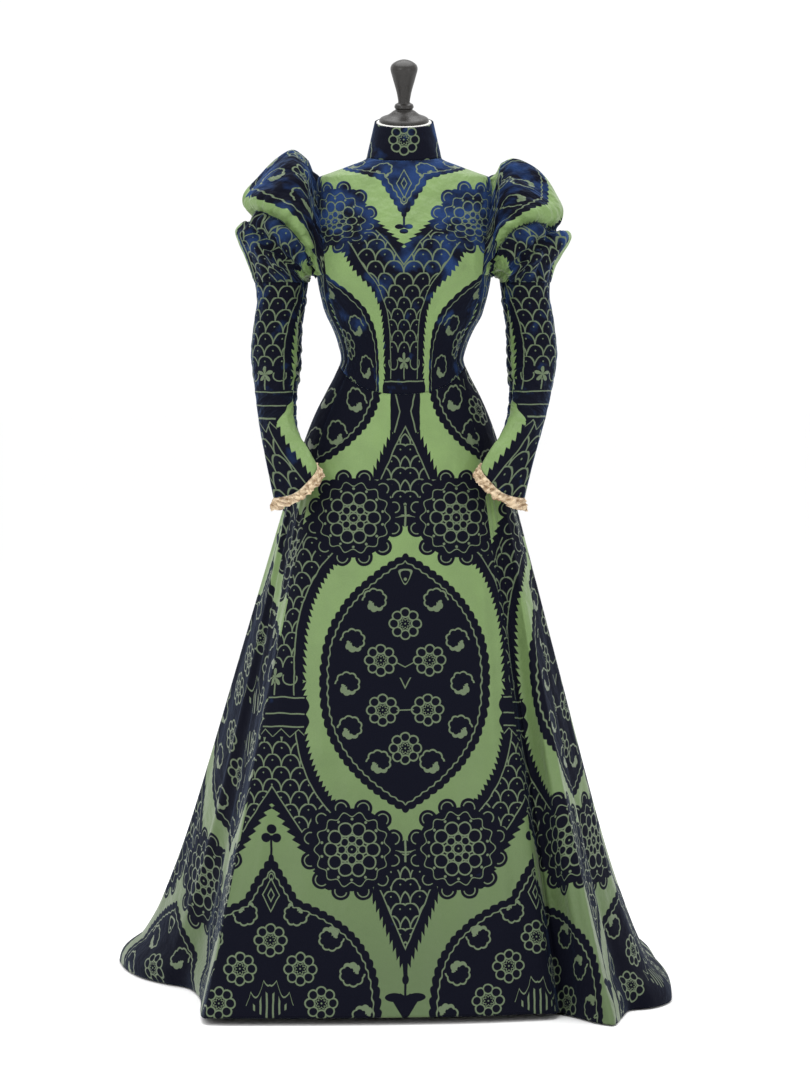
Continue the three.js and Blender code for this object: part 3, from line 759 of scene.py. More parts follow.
def band_sprigs(x, y, x_pointed, y_pointed):
    """Small dark plants that stand free in the satin."""
    rim = length(x, y - 540.0) + abs((turn(x, y - 540.0) * 9.0).cos()) * 4.0
    carnation = both(rim.below(44.0), (x + (y - 541.0) * 0.62).below(0.0))
    top = (length(x - 17.0, (y - 503.0) * 2.2) - 15.0).below(0.0)
    bud = (length(x * 1.6, y - 475.0) - 8.0).below(0.0)
    stalk = both(x.below(1.8), y.above(456.0))
    leaf = smaller(length(x_pointed - 8.0, y_pointed - 297.0), length(x_pointed, y_pointed - 311.0))
    trefoil = union(leaf.below(7.5), both(x_pointed.below(1.8), abs(y_pointed - 285.0).below(16.0)))
    return union(carnation, top, bud, stalk, trefoil)


print("trunks crossed at", CROSSED[0], "mm and narrowed at", NECK[0], "mm")


# %% The voided velvet's drawing
def draw_lattice(across, down):
    from_round = across.folded(ACROSS)
    from_pointed = ACROSS - from_round
    level = down.wrapped(DOWN)
    high = abs(level)
    high_pointed = DOWN - high
    along = high - from_round

    medallion = oval(from_round, high, ROUND_MEDALLION)
    pointed = smaller(
        oval(from_pointed, high_pointed, POINTED_MEDALLION), wedge(from_pointed, high_pointed, TIP)
    )
    insides = []
    borders = []
    for distance, run in ((medallion, along), (pointed, high_pointed - from_pointed)):
        scallop = (abs((run * (math.pi / SCALLOP)).cos()) - 0.5) * SCALLOP_REACH
        wave = (run * (2 * math.pi / SCALLOP)).cos()
        insides.append((distance - scallop).below(0.0))
        borders.append((distance + wave).line(-BORDER, LINE))

    band = oval(from_round, high, ROUND_BAND)
    peak = wedge(from_pointed, high_pointed, PEAK)
    trunk = wedge(from_round, high, TRUNK)
    low_band = high_pointed.below(UNDER_HEADS)
    high_band = 1.0 - low_band
    open_band = union(
        (band + teeth(along, band)).below(0.0),
        (peak + teeth(high, peak)).below(0.0),
        both(low_band, (trunk - teeth(high, trunk)).above(0.0)),
    )
    head_lines, head = use(flower_head, from_round - HEAD_PLACE[0], high - HEAD_PLACE[1])
    in_head = head.below(0.0)
    collar, collar_lines = cross_bands(from_pointed, level)
    sprigs = band_sprigs(from_round, high, from_pointed, high_pointed)
    neck_level, neck_width, neck_height = NECK
    from_neck = abs(level - neck_level)
    neck = both(from_round.below(neck_width), from_neck.below(neck_height))
    neck_lines = both((from_round - from_neck * 0.2).line(9.0, LINE), neck)
    pile = union(*insides, in_head, collar, sprigs, neck)
    open_satin = both(open_band, 1.0 - pile)

    veins = union(
        both(smaller(band, peak).line(VEIN, 1.0), high_band),
        both(trunk.line(-VEIN, 1.0), low_band),
    )
    beside_band = both(band.above(VEIN), peak.above(VEIN), high_band)
    uncrossed = both(abs(level - CROSSED[0]).above(CROSSED[1]), beside_band)
    in_trunk = both(trunk.below(-VEIN), low_band)
    fans = both(union(uncrossed, in_trunk), *use(scales, from_pointed, level, SCALE_WIDTH))

    inside_round = both(lattice_round(from_round, level), medallion.below(-BORDER))
    inside_pointed = both(lattice_pointed(from_pointed, high_pointed), pointed.below(-BORDER))
    veins = both(veins, 1.0 - collar)
    outside = both(union(veins, fans, collar_lines, neck_lines), head.above(2.0))
    border = both(union(*borders), 1.0 - in_head)
    stem = both(from_round.below(1.6), high.line(*STEM))
    in_heads = union(both(head_lines, in_head), stem)
    drawn = union(open_satin, border, inside_round, inside_pointed, outside, in_heads)
    return drawn, open_satin


voided_velvet = new_group("voided velvet", FLAT, ["Satin", "Open"], draw_lattice)
print("voided velvet", len(voided_velvet.nodes), "nodes")

# %% [markdown]
# ## Finishes
# Pile and satin answer light in opposite ways. Pile drinks it and gives some back at grazing
# angles as a blue bloom, so it is nearly black with sheen, and its colour takes a painted blue
# sheen in patches, more of it higher up. Satin is smooth and gives soft highlights along its
# threads; its colour takes painted highlight and painted shade in patches, and painted shade
# towards the hem and in its narrow lines. Each cloth is both shaders, mixed by the pattern's
# mask, and a shared group adds patches of wear and painted shade, and the threads themselves.


# %% Shared groups of thread, wear and painted shade
def noise(place, patches, detail):
    """Soft noise from 0 to 1, with about so many patches in a metre."""
    node = place.tree.nodes.new("ShaderNodeTexNoise")
    node.inputs["Detail"].default_value = detail
    feed(place.tree, node.inputs["Vector"], place)
    feed(place.tree, node.inputs["Scale"], patches)
    return Field(place.tree, node.outputs["Fac"])


def draw_patches(cloth, patches, threads):
    """Patches of wear, which some finishes use as painted shade, and the fine relief of its
    threads.
    """
    return noise(cloth, patches, 4.0), noise(cloth, threads, 2.0)


patch_inputs = ["Cloth", "Patches", "Threads"]
patch_group = new_group("handled cloth", patch_inputs, ["Rubbed", "Relief"], draw_patches)
print("handled cloth group ready")


# %% Helpers for a material
def new_material(name):
    material = bpy.data.materials.new(name)
    material.use_nodes = True
    tree = material.node_tree
    tree.nodes.clear()
    return material, tree


def show(tree, finish):
    """Makes a shader the material's surface."""
    out = tree.nodes.new("ShaderNodeOutputMaterial")
    tree.links.new(finish.outputs[0], out.inputs["Surface"])


def cloth_place(tree):
    """The cloth's own flat coordinates, in metres."""
    node = tree.nodes.new("ShaderNodeUVMap")
    node.uv_map = "cloth"
    return Field(tree, node.outputs["UV"])


def surface_place(tree):
    node = tree.nodes.new("ShaderNodeTexCoord")
    return Field(tree, node.outputs["Object"])


IN_METRE = 1000.0  # millimetres


def parts_of(place):
    """The three numbers of a place."""
    node = place.tree.nodes.new("ShaderNodeSeparateXYZ")
    feed(place.tree, node.inputs["Vector"], place)
    return [Field(place.tree, socket) for socket in node.outputs]


def patchy(place, patch, thread):
    """The shared group of wear and painted shade, with patches and threads of those sizes in
    metres.
    """
    return use(patch_group, place, 1 / patch, 1 / thread)


def blend_colours(share, first, second):
    node = share.tree.nodes.new("ShaderNodeMix")
    node.data_type = "RGBA"
    for label, value in (("Factor", share), ("A", first), ("B", second)):
        feed(share.tree, node.inputs[label], value)
    return Field(share.tree, node.outputs["Result"])


def shader(tree, colour, roughness, **constants):
    """A Principled shader. Its constants are set on its own sockets."""
    node = tree.nodes.new("ShaderNodeBsdfPrincipled")
    feed(tree, node.inputs["Base Color"], colour)
    feed(tree, node.inputs["Roughness"], roughness)
    for label, value in constants.items():
        feed(tree, node.inputs[label.replace("_", " ")], value)
    return node


def bump(height, distance, strength, *shaders):
    node = height.tree.nodes.new("ShaderNodeBump")
    node.inputs["Distance"].default_value = distance
    node.inputs["Strength"].default_value = strength
    feed(height.tree, node.inputs["Height"], height)
    for target in shaders:
        height.tree.links.new(node.outputs["Normal"], target.inputs["Normal"])


print("material helpers ready")

# %% Voided velvet as a material
PILE_DEEP = (0.0022, 0.0026, 0.0072)
# the colour of painted sheen: a blue highlight painted into the pile
PILE_PAINTED_SHEEN = (0.013, 0.035, 0.112)
# this and the next are the satin's painted highlight and painted shade, mixed in patches
SATIN_LIT = (0.159, 0.257, 0.079)
SATIN_PAINTED_SHADE = (0.112, 0.183, 0.056)
# the satin's painted shade towards the hem
SATIN_PAINTED_LOW_SHADE = (0.064, 0.104, 0.036)
# narrow lines of satin, with painted shade where the pile overhangs them
LINE_SATIN_SHADED = (0.078, 0.113, 0.054)
SHEEN = (0.22, 0.42, 0.9)
LOOM_DRIFT = 2.6  # how far the woven lines wander, in millimetres
LOW_SHADE_TOP = 0.85  # painted shade, darker towards the hem, thins out up to this height, in metres
SHEEN_HEIGHT = 1.2  # above this height the pile's painted sheen is stronger, and below it weaker, where the top light falls
SHEEN_HEIGHT_MOST = 0.09
DRIFT_PATCH = 0.022  # this and the next four are sizes on the cloth, in metres
SATIN_SHADE_PATCH = 0.06
SHEEN_PATCH = 0.05
CREASE_PATCH = 0.021
THREAD = 0.0016
PAINTED_SHEEN_START = 0.56  # how strong the sheen field is where the pile's painted sheen begins
PAINTED_SHEEN_STEEP = 5.0


def velvet_cloth(name, across, down, sheen_amount, creased, sheen_rise=0.0):
    """Voided velvet. across and down place the cloth's origin in the lattice, in millimetres.

    The fourth argument sets the shader's sheen and how much painted sheen goes into the pile's
    colour, from 0 to 1, and the last how much that painted sheen grows with each metre of height,
    where the top light falls. creased is the height of the small creases.
    """
    material, tree = new_material(name)
    place = cloth_place(tree)
    cloth_across, cloth_down, _ = parts_of(place)
    _, _, height = parts_of(surface_place(tree))
    drift = (noise(place, 1 / DRIFT_PATCH, 1.0) - 0.5) * LOOM_DRIFT
    x = cloth_across * IN_METRE + across + drift
    y = cloth_down * IN_METRE + down + drift
    satin, open_satin = use(voided_velvet, x, y)
    wear_and_shade, relief = patchy(place, SATIN_SHADE_PATCH, THREAD)
    # painted sheen: a blue highlight painted into the pile's colour in patches, and more of it
    # higher up, where the top light falls
    sheen_higher_up = ((height - SHEEN_HEIGHT) * sheen_rise).limited(-SHEEN_HEIGHT_MOST, SHEEN_HEIGHT_MOST)
    sheen_field = noise(place, 1 / SHEEN_PATCH, 3.0) + sheen_higher_up + (sheen_amount - 0.5) * 0.5
    painted_sheen = ((sheen_field - PAINTED_SHEEN_START) * PAINTED_SHEEN_STEEP).limited(0.0, 1.0) * (relief * 0.8 + 0.5)
    pile_colour = blend_colours(painted_sheen, PILE_DEEP, PILE_PAINTED_SHEEN)
    # painted highlight and painted shade on the satin, in patches
    satin_shade = (wear_and_shade * 0.6 + relief * 0.4).math("MULTIPLY_ADD", 2.6, -0.8, clamp=True)
    satin_colour = blend_colours(satin_shade, SATIN_LIT, SATIN_PAINTED_SHADE)
    # painted shade: the satin grows darker towards the hem
    low_shade = ((LOW_SHADE_TOP - height) * 1.3).limited(0.0, 1.0)
    satin_colour = blend_colours(low_shade, satin_colour, SATIN_PAINTED_LOW_SHADE)
    # painted shade on the narrow lines of satin
    satin_colour = blend_colours(open_satin, LINE_SATIN_SHADED, satin_colour)
    pile = shader(
        tree, pile_colour, 0.85, Sheen_Weight=0.02 + 0.36 * sheen_amount, Sheen_Roughness=0.35,
        Sheen_Tint=SHEEN, Specular_IOR_Level=0.08,
    )
    ground = shader(
        tree, satin_colour, relief * 0.2 + 0.4, Sheen_Weight=0.12, Specular_IOR_Level=0.4
    )
    creases_in_cloth = noise(place, 1 / CREASE_PATCH, 2.0) * creased
    cloth_relief = 1.0 - satin + relief * 0.5 + creases_in_cloth
    bump(cloth_relief, 0.0009, 0.6, pile, ground)
    mixed = tree.nodes.new("ShaderNodeMixShader")
    tree.links.new(satin.socket, mixed.inputs["Fac"])
    tree.links.new(pile.outputs["BSDF"], mixed.inputs[1])
    tree.links.new(ground.outputs["BSDF"], mixed.inputs[2])
    show(tree, mixed)
    return material


BODICE_DOWN = -156.0
skirt_velvet = velvet_cloth("skirt velvet", -2.0, -397.0, 0.2, 4.0)
side_velvet = {
    1: velvet_cloth("left gore velvet", -190.0, -405.0, 0.08, 6.0),
    -1: velvet_cloth("right gore velvet", ACROSS + 140.0, 79.0, 0.12, 6.0),
}
bodice_velvet = velvet_cloth("bodice velvet", ACROSS, BODICE_DOWN, 0.66, 8.0, sheen_rise=0.8)
SLEEVE_ACROSS = {1: ACROSS - 19.0, -1: ACROSS + 19.0}
SLEEVE_DOWN = -163.0
sleeve_velvet = {
    1: velvet_cloth("left sleeve velvet", SLEEVE_ACROSS[1], SLEEVE_DOWN, 0.6, 16.0, sheen_rise=0.3),
    -1: velvet_cloth("right sleeve velvet", SLEEVE_ACROSS[-1], SLEEVE_DOWN, 0.6, 16.0, sheen_rise=0.3),
}
collar_velvet = velvet_cloth("collar velvet", 0.0, -88.0, 0.45, 3.0)
print("velvets ready")

# %% [markdown]
# ## Lace, wood and cotton
# The cuffs hold crumpled cotton lace, so its colour carries painted light and shade in patches,
# and its net is pierced. The knob, pole and base are ebonised wood under a worn satin polish.
# The form is covered in plain calico.


# %% Lace, wood and calico as materials
NET_STEP = 1.2  # half the lace's repeat, in millimetres
NET_HOLE = 0.55
HOLE_ALPHA = 0.65  # how much a hole still hides, because the lace lies in layers
LACE_SHADED = (0.22, 0.13, 0.06)
LACE_LIT = (0.82, 0.66, 0.45)
GRAIN_STRETCH = 0.12  # the grain runs up the pole
WOOD_DARK = (0.008, 0.0075, 0.007)
WOOD_WORN = (0.03, 0.027, 0.025)
CALICO_RUBBED = (0.74, 0.73, 0.69)
CALICO_CLEAN = (0.84, 0.83, 0.8)


def lace_material():
    material, tree = new_material("cream lace")
    place = cloth_place(tree)
    wear_and_shade, relief = patchy(place, 0.009, 0.0022)
    across, down, _ = parts_of(place)
    x = (across * IN_METRE).folded(NET_STEP) - NET_STEP / 2
    y = (down * IN_METRE).folded(NET_STEP) - NET_STEP / 2
    thread = length(x, y).above(NET_HOLE)
    # painted shade and painted light on the crumpled lace, in patches
    shade = ((wear_and_shade - 0.36) * 3.4).limited(0.0, 1.0)
    colour = blend_colours(shade, LACE_SHADED, LACE_LIT)
    cotton = shader(tree, colour, relief * 0.2 + 0.75, Sheen_Weight=0.2)
    bump(relief, 0.0012, 0.8, cotton)
    feed(tree, cotton.inputs["Alpha"], thread * (1.0 - HOLE_ALPHA) + HOLE_ALPHA)
    show(tree, cotton)
    return material


def wood_material():
    material, tree = new_material("ebonised wood")
    stretch = tree.nodes.new("ShaderNodeMapping")
    stretch.inputs["Scale"].default_value = (1.0, 1.0, GRAIN_STRETCH)
    feed(tree, stretch.inputs["Vector"], surface_place(tree))
    grain, relief = patchy(Field(tree, stretch.outputs["Vector"]), 0.0035, 0.0008)
    colour = blend_colours(grain, WOOD_DARK, WOOD_WORN)
    polish = shader(tree, colour, relief * 0.15 + 0.3, Specular_IOR_Level=0.35)
    bump(grain * 0.7 + relief * 0.3, 0.0002, 0.3, polish)
    show(tree, polish)
    return material


def calico_material():
    material, tree = new_material("white calico")
    wear_and_shade, relief = patchy(surface_place(tree), 0.03, 0.0009)
    colour = blend_colours(wear_and_shade, CALICO_RUBBED, CALICO_CLEAN)
    cotton = shader(tree, colour, relief * 0.1 + 0.8, Sheen_Weight=0.15)
    bump(relief, 0.0003, 0.4, cotton)
    show(tree, cotton)
    return material


lace = lace_material()
wood = wood_material()
calico = calico_material()
print("lace, wood and calico ready")

# %% [markdown]
# ## From a surface to a sheet of cloth
# A sheet is a grid of points on its piece's surface. Lengths measured along the grid give the
# cloth's own flat coordinates, so the pattern runs with the grain. Where darts, tucks or easing
# hide cloth, a function fits those coordinates to what is left in sight. Folds and tucks lift
# the points along the surface's normal, and a Solidify modifier gives the sheet its thickness
# inwards.


# %% Measure a grid and make it a mesh
def lengths(points, axis):
    """Running length along a grid of points."""
    step = np.linalg.norm(np.diff(points, axis=axis), axis=-1)
    start = np.zeros_like(np.take(step, [0], axis=axis))
    return np.concatenate([start, np.cumsum(step, axis=axis)], axis=axis)


def normals(points):
    right = np.gradient(points, axis=1)
    above = np.gradient(points, axis=0)
    outward = np.cross(right, above)
    return outward / np.maximum(np.linalg.norm(outward, axis=-1, keepdims=True), 1e-9)


def rows_through(*stretches):
    """Rows of a grid, given as stretches with a start, an end and a count."""
    return np.unique(np.concatenate([np.linspace(*stretch) for stretch in stretches]))


def make_mesh(name, points, across, down, closed):
    """A mesh of the grid, with its flat coordinates as the UV map called cloth."""
    rows, count = points.shape[:2]
    kept = count - 1 if closed else count
    mesh = bpy.data.meshes.new(name)
    row, col = np.meshgrid(np.arange(rows - 1), np.arange(count - 1), indexing="ij")
    corners = [(row, col), (row, col + 1), (row + 1, col + 1), (row + 1, col)]
    faces = np.stack([r * kept + c % kept for r, c in corners], axis=-1).reshape(-1, 4)
    vertices = (points[:, :kept] * MM).reshape(-1, 3)
    mesh.from_pydata(vertices.tolist(), [], faces.tolist())
    flat = [np.stack([across[r, c], down[r, c]], axis=-1) for r, c in corners]
    coordinates = np.stack(flat, axis=-2).reshape(-1, 2) * MM
    layer = mesh.uv_layers.new(name="cloth")
    layer.data.foreach_set("uv", coordinates.ravel())
    mesh.polygons.foreach_set("use_smooth", [True] * len(faces))
    mesh.update()
    return mesh


print("three rows through", rows_through((0, 1, 3)))

# %% The sheet builder
CLOTH_THICKNESS = 1.3
TUCK_WIDTH = 4.0
TUCK_DEPTH = 1.1


def ridge(place, width):
    """1 at its middle, and less the further away in widths."""
    return np.exp(-((place / width) ** 2))


def sheet_of_cloth(name, surface, material, ups, edges, count, lift, grain=None, level=0.0,
                   closed=False, thickness=CLOTH_THICKNESS, even=False, fitted=None):
    """A sheet on a surface between two edges, with its grain line and its level line.

    even keeps the pattern's rows level, and fitted skips the cloth that darts hide.
    """
    low, high = edges
    share = np.linspace(0, 1, count + 1)
    if not closed:  # two more columns beside each edge, where it tucks under
        near = np.array([0.15, 0.5]) / count
        share = np.sort(np.concatenate([share, near, 1 - near]))
    ups = np.asarray(ups, dtype=float)
    up = ups[:, None] * np.ones_like(share)[None, :]
    angle = lerp(low(ups)[:, None], high(ups)[:, None], share[None, :])
    points = surface(angle, up)
    across = lengths(points, 1)
    from_edge = np.minimum(across, across[:, -1:] - across)
    tuck = 0.0 if closed else ridge(from_edge, TUCK_WIDTH) * TUCK_DEPTH
    middle = across[:, -1] / 2
    if grain is not None:
        grain_rows = zip(angle, points, across)
        middle = np.array([np.interp(0.0, grain(at, row), ran) for at, row, ran in grain_rows])
    rising = lengths(points, 0)
    tall = rising[-1].max() * MM
    if even:
        rising = rising.mean(axis=1, keepdims=True) + 0 * rising
    levels = level(angle[0]) if callable(level) else np.full(rising.shape[1], level)
    base = np.array([np.interp(at, ups, rising[:, i]) for i, at in enumerate(levels)])
    down = base[None, :] - rising
    outward = normals(points)
    if closed:
        outward[:, -1] = outward[:, 0]
    height = lift(angle, up) - tuck
    points = points + outward * height[..., None]
    if closed:
        points[:, -1] = points[:, 0]
    across_flat = across - middle[:, None]
    if fitted is not None:
        across_flat, down = fitted(across_flat, down)
    mesh = make_mesh(name, points, across_flat, down, closed)
    mesh.materials.append(material)
    piece = add_object(name, mesh)
    shell = piece.modifiers.new("cloth thickness", "SOLIDIFY")
    shell.thickness = thickness * MM
    shell.offset = -1.0
    area = sum(face.area for face in mesh.polygons)
    wide = across[:, -1].max() * MM
    print(name, "sheet", round(wide, 3), "by", round(tall, 3), "m, area", round(area, 4))
    return piece


def finish_cloth(piece, node):
    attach(piece, "root")
    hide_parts(node)


print("sheets", CLOTH_THICKNESS, "mm thick, tucked under by", TUCK_DEPTH, "mm at their edges")

# %% [markdown]
# ## Folds placed one by one
# Gravity and the maker's gathers fold each piece differently, so no two folds are alike. A
# crease is a ridge with a place, a slant, a height and a width, and it fades at both its ends.


# %% A crease
def between(place, span, fading):
    """1 inside the span, and fading to 0 at both its ends."""
    return smooth((place - span[0]) / fading) * smooth((span[1] - place) / fading)


def crease(angle, up, at, slant, span, width, height):
    """A fold near the angle at, in degrees, that slants as it rises through its span of up."""
    bottom, top = span
    middle = math.radians(at) + math.radians(slant) * (up - bottom)
    fading = 0.12 * (top - bottom) + 0.02
    return height * ridge(angle - middle, math.radians(width)) * between(up, span, fading)


def creases(rows, angle, up):
    return sum(crease(angle, up, *row) for row in rows)


def at_angle(value):
    return lambda ups: np.full_like(ups, value)


ALL_ROUND = (at_angle(-math.pi), at_angle(math.pi))
print("creases ready")

# %% [markdown]
# ## The skirt's five gores
# The front gore lies nearly flat between two pressed folds. The side gores and the backs carry
# the fullness, which opens from the hip and spreads into the train.

# %% Make the skirt
SKIRT_RIGHT = math.radians(-55)
SKIRT_LEFT = math.radians(50)
SKIRT_RIGHT_BACK = math.radians(-112)
SKIRT_LEFT_BACK = math.radians(110)
HIP_UP = 1 - HIP_SHARE

skirt_rows = rows_through((0, HIP_SHARE, 26), (HIP_SHARE, 0.8, 78), (0.8, 1, 30))
SKIRT_CREASES = [  # angle, slant, span of up, width and height of each
    (-44, -6, (0.0, 0.8), 3.2, 4.5),
    (-31, 5, (0.0, 0.62), 4.5, 2.6),
    (-14, -4, (0.0, 0.45), 5.0, 2.2),
    (9, 3, (0.0, 0.5), 4.5, 2.4),
    (23, -5, (0.02, 0.7), 3.8, 3.0),
    (36, 6, (0.0, 0.85), 3.0, 4.0),
    (58, -3, (0.05, 0.9), 1.6, 3.5),
    (66, 4, (0.02, 0.8), 1.8, 4.5),
    (80, -5, (0.02, 0.86), 2.4, 6.0),
    (92, 4, (0.03, 0.75), 2.0, 5.0),
    (104, -4, (0.02, 0.9), 2.2, 6.0),
    (119, 5, (0.03, 0.7), 2.6, 6.5),
    (128, -4, (0.02, 0.95), 2.0, 5.5),
    (137, 4, (0.03, 0.8), 2.2, 6.0),
    (151, -5, (0.02, 0.92), 2.6, 7.0),
    (163, 4, (0.03, 0.85), 2.2, 6.0),
    (172, -3, (0.02, 0.95), 1.8, 5.0),
    (-64, 4, (0.03, 0.9), 1.8, 4.0),
    (-71, -5, (0.02, 0.78), 2.2, 5.0),
    (-86, 4, (0.02, 0.85), 2.6, 6.0),
    (-99, -4, (0.03, 0.92), 2.2, 5.5),
    (-108, 3, (0.02, 0.7), 1.6, 5.0),
    (-121, -5, (0.03, 0.9), 2.4, 6.5),
    (-133, 4, (0.02, 0.75), 2.0, 5.5),
    (-147, -4, (0.03, 0.94), 2.6, 6.5),
    (-158, 5, (0.02, 0.8), 2.2, 6.0),
    (-169, -3, (0.02, 0.92), 1.9, 5.5),
]


def front_grain(angle, points):
    return points[:, 0]


def seam_grain(edge, angle, points):
    """The grain starts at the gore's front seam."""
    return angle - edge


EASE = 0.8
skirt_gores = [
    ("front", SKIRT_RIGHT, SKIRT_LEFT, 84, skirt_velvet, None, (0.6, 1.1), 0.43),
    ("side_left", SKIRT_LEFT, SKIRT_LEFT_BACK, 100, side_velvet[1], SKIRT_LEFT, (0.8, 1.15), 0.44),
    ("side_right", SKIRT_RIGHT_BACK, SKIRT_RIGHT, 100, side_velvet[-1], SKIRT_RIGHT,
     (0.82, 1.18), 0.45),
    ("back_left", SKIRT_LEFT_BACK, math.pi, 120, skirt_velvet, SKIRT_LEFT_BACK,
     (0.86, 1.28), 0.51),
    ("back_right", -math.pi, SKIRT_RIGHT_BACK, 120, skirt_velvet, SKIRT_RIGHT_BACK,
     (0.7, 1.28), 0.45),
]


def eased(across, down):
    """Flat coordinates of a side gore, whose cloth is eased in between its folds."""
    return across * EASE, down


for place, low, high, count, finish, seam, flat, area in skirt_gores:
    gore = sheet_of_cloth(
        f"skirt_{place}_cloth", skirt, finish, skirt_rows, (at_angle(low), at_angle(high)), count,
        partial(creases, SKIRT_CREASES), level=HIP_UP, even=place == "front",
        grain=front_grain if seam is None else partial(seam_grain, seam),
        fitted=eased if place == "side_right" else None,
    )
    finish_cloth(gore, f"skirt_{place}")

# %% [markdown]
# ## The bodice and collar
# The bodice is fitted over stays, so it is smooth, with short drag lines from the bust and the
# armholes and a few across the waist.

# %% Make the bodice
bodice_rows = rows_through(
    (0, AT_UNDERARM, 34), (AT_UNDERARM, AT_SHOULDER, 28), (AT_SHOULDER, 1, 16)
)
below_arm_rows = bodice_rows[bodice_rows <= AT_UNDERARM + 1e-9]
BODICE_CREASES = [  # angle, slant, span of up, width and height of each
    (-22, -30, (0.02, 0.3), 3.0, 1.2),
    (20, 34, (0.04, 0.34), 3.0, 1.1),
    (-48, 20, (0.4, 0.66), 3.5, 1.4),
    (50, -22, (0.42, 0.68), 3.5, 1.3),
    (-9, 4, (0.8, 0.99), 5.0, 1.0),
    (14, -6, (0.82, 0.99), 5.0, 0.9),
    (86, 10, (0.02, 0.3), 4.0, 1.0),
    (-90, -12, (0.05, 0.34), 4.0, 1.1),
    (128, 18, (0.35, 0.66), 4.0, 1.5),
    (-131, -16, (0.38, 0.7), 4.0, 1.4),
    (160, 8, (0.03, 0.3), 4.0, 1.3),
    (-157, -9, (0.04, 0.33), 4.0, 1.2),
]
FITTING = [  # level, how much wider the cloth is, and how much the darts hide
    (-340, 1.08, 0),
    (-260, 1.08, 0),
    (-194, 0.95, 0),
    (-163, 0.88, 4),
    (-120, 1.15, 8),
    (-88, 1.4, 8),
    (-55, 1.45, 14),
    (0, 1.5, 22),
    (70, 1.6, 24),
]
fitting = columns("wide dart", FITTING)
DART_PLACE = 30.0
DART_REACH = 22.0
YOKE_LEVEL = -200.0
YOKE_TUCK = 28.0
YOKE_FADE = 60.0


def fit_to_waist(across, down):
    """Flat coordinates of the front, where two darts and a tuck at the yoke hide cloth."""
    level = down + BODICE_DOWN
    hidden = fitting["dart"](level) * smooth((np.abs(across) - DART_PLACE) / DART_REACH)
    tucked = YOKE_TUCK * smooth((YOKE_LEVEL - level) / YOKE_FADE)
    return across * fitting["wide"](level) + np.sign(across) * hidden, down - tucked


def mirrored(edge):
    return lambda ups: -edge(ups)


side_front = at_angle(BODICE_SIDE_FRONT)
side_back = at_angle(BODICE_SIDE_BACK)
bodice_pieces = [
    ("front", mirrored(front_edge), front_edge, 64, bodice_rows, (0.37, 0.45), 0.122),
    ("side_left", side_front, side_back, 22, below_arm_rows, (0.125, 0.17), 0.0175),
    ("side_right", mirrored(side_back), mirrored(side_front), 22, below_arm_rows,
     (0.125, 0.17), 0.0175),
    ("back_left", back_edge, ALL_ROUND[1], 34, bodice_rows, (0.19, 0.42), 0.056),
    ("back_right", ALL_ROUND[0], mirrored(back_edge), 34, bodice_rows, (0.19, 0.42), 0.056),
]
for place, low, high, count, rows, flat, area in bodice_pieces:
    node = f"bodice_{place}"
    part = sheet_of_cloth(
        node + "_cloth", bodice, bodice_velvet, rows, (low, high), count,
        partial(creases, BODICE_CREASES), level=AT_UNDERARM,
        grain=front_grain if place == "front" else None,
        fitted=fit_to_waist if place == "front" else None,
    )
    finish_cloth(part, node)

# %% Make the collar
COLLAR_HALF = 48.5
COLLAR_FRONT = 50.5
COLLAR_BACK = 49
COLLAR_Z = 1428
COLLAR_SLOPE = 0.24
NECK_GAP = 0.45


def collar(angle, up):
    low = section(angle, neckline(angle))
    low[..., 2] += NECK_GAP
    c = np.cos(angle)
    depth = np.where(c > 0, COLLAR_FRONT, COLLAR_BACK)
    high_y = -depth * c
    high_z = COLLAR_Z + COLLAR_SLOPE * high_y
    high = np.stack([COLLAR_HALF * np.sin(angle), high_y, high_z], axis=-1)
    return lerp(low, high, up[..., None])


COLLAR_CREASES = [(-35, 20, (0.0, 0.6), 9.0, 0.8), (48, -16, (0.1, 0.7), 8.0, 0.7)]
stand_collar = sheet_of_cloth(
    "collar_cloth", collar, collar_velvet, np.linspace(0, 1, 18), ALL_ROUND, 72,
    partial(creases, COLLAR_CREASES), level=0.5,
)
finish_cloth(stand_collar, "collar")

# %% [markdown]
# ## The sleeves
# Gathers run out from the armhole and from the tuck between the tiers and die away over each
# lobe. Below, the close sleeve is a little long, so it wrinkles across the arm.

# %% Gathers, wrinkles and where the pattern lies
TIER_LINES = {1: (0.4, 0.66, 2.6), -1: (0.46, 0.41, 2.0)}
SEAM_LAP = 3.0  # the sleeve head laps over the armhole by this
SEAM_LAP_LIFT = 2.0
LAP_FROM = 0.96
TIER_RIDGES = [(6.5, 0.08, 0.06), (7.5, -0.065, 0.045), (-10.0, 0.0, 0.026)]
HEAD_PATTERN = {1: (1.25, 40.0), -1: (1.0, 26.0)}  # crosswise scale and shift along the band
CROSS_EDGE = 154.0
LOW_TIER = 36.0
GATHER_HEIGHT = 3.4
WRINKLE_HEIGHT = 1.5
ARM_TWIST = 42.0
TWIST_FROM = 190.0
TWIST_FADE = 60.0
EASED_FROM = 230.0
EASED_AWAY = 0.35
SLEEVE_FRONT_SEAM = math.radians(30)
SLEEVE_BACK_SEAM = math.radians(66)


def uneven(place, phase):
    """A wave whose folds are never quite alike."""
    return (
        np.sin(place + phase)
        + 0.6 * np.sin(1.63 * place + 2.1 * phase)
        + 0.4 * np.sin(2.71 * place + 0.7 * phase)
    ) / 2


def tier_line(side, around):
    """How far up the sleeve head the tuck between its tiers runs: least on its outside."""
    outside, climb, bend = TIER_LINES[side]
    return outside + climb * np.abs(np.sin(around / 2)) ** bend


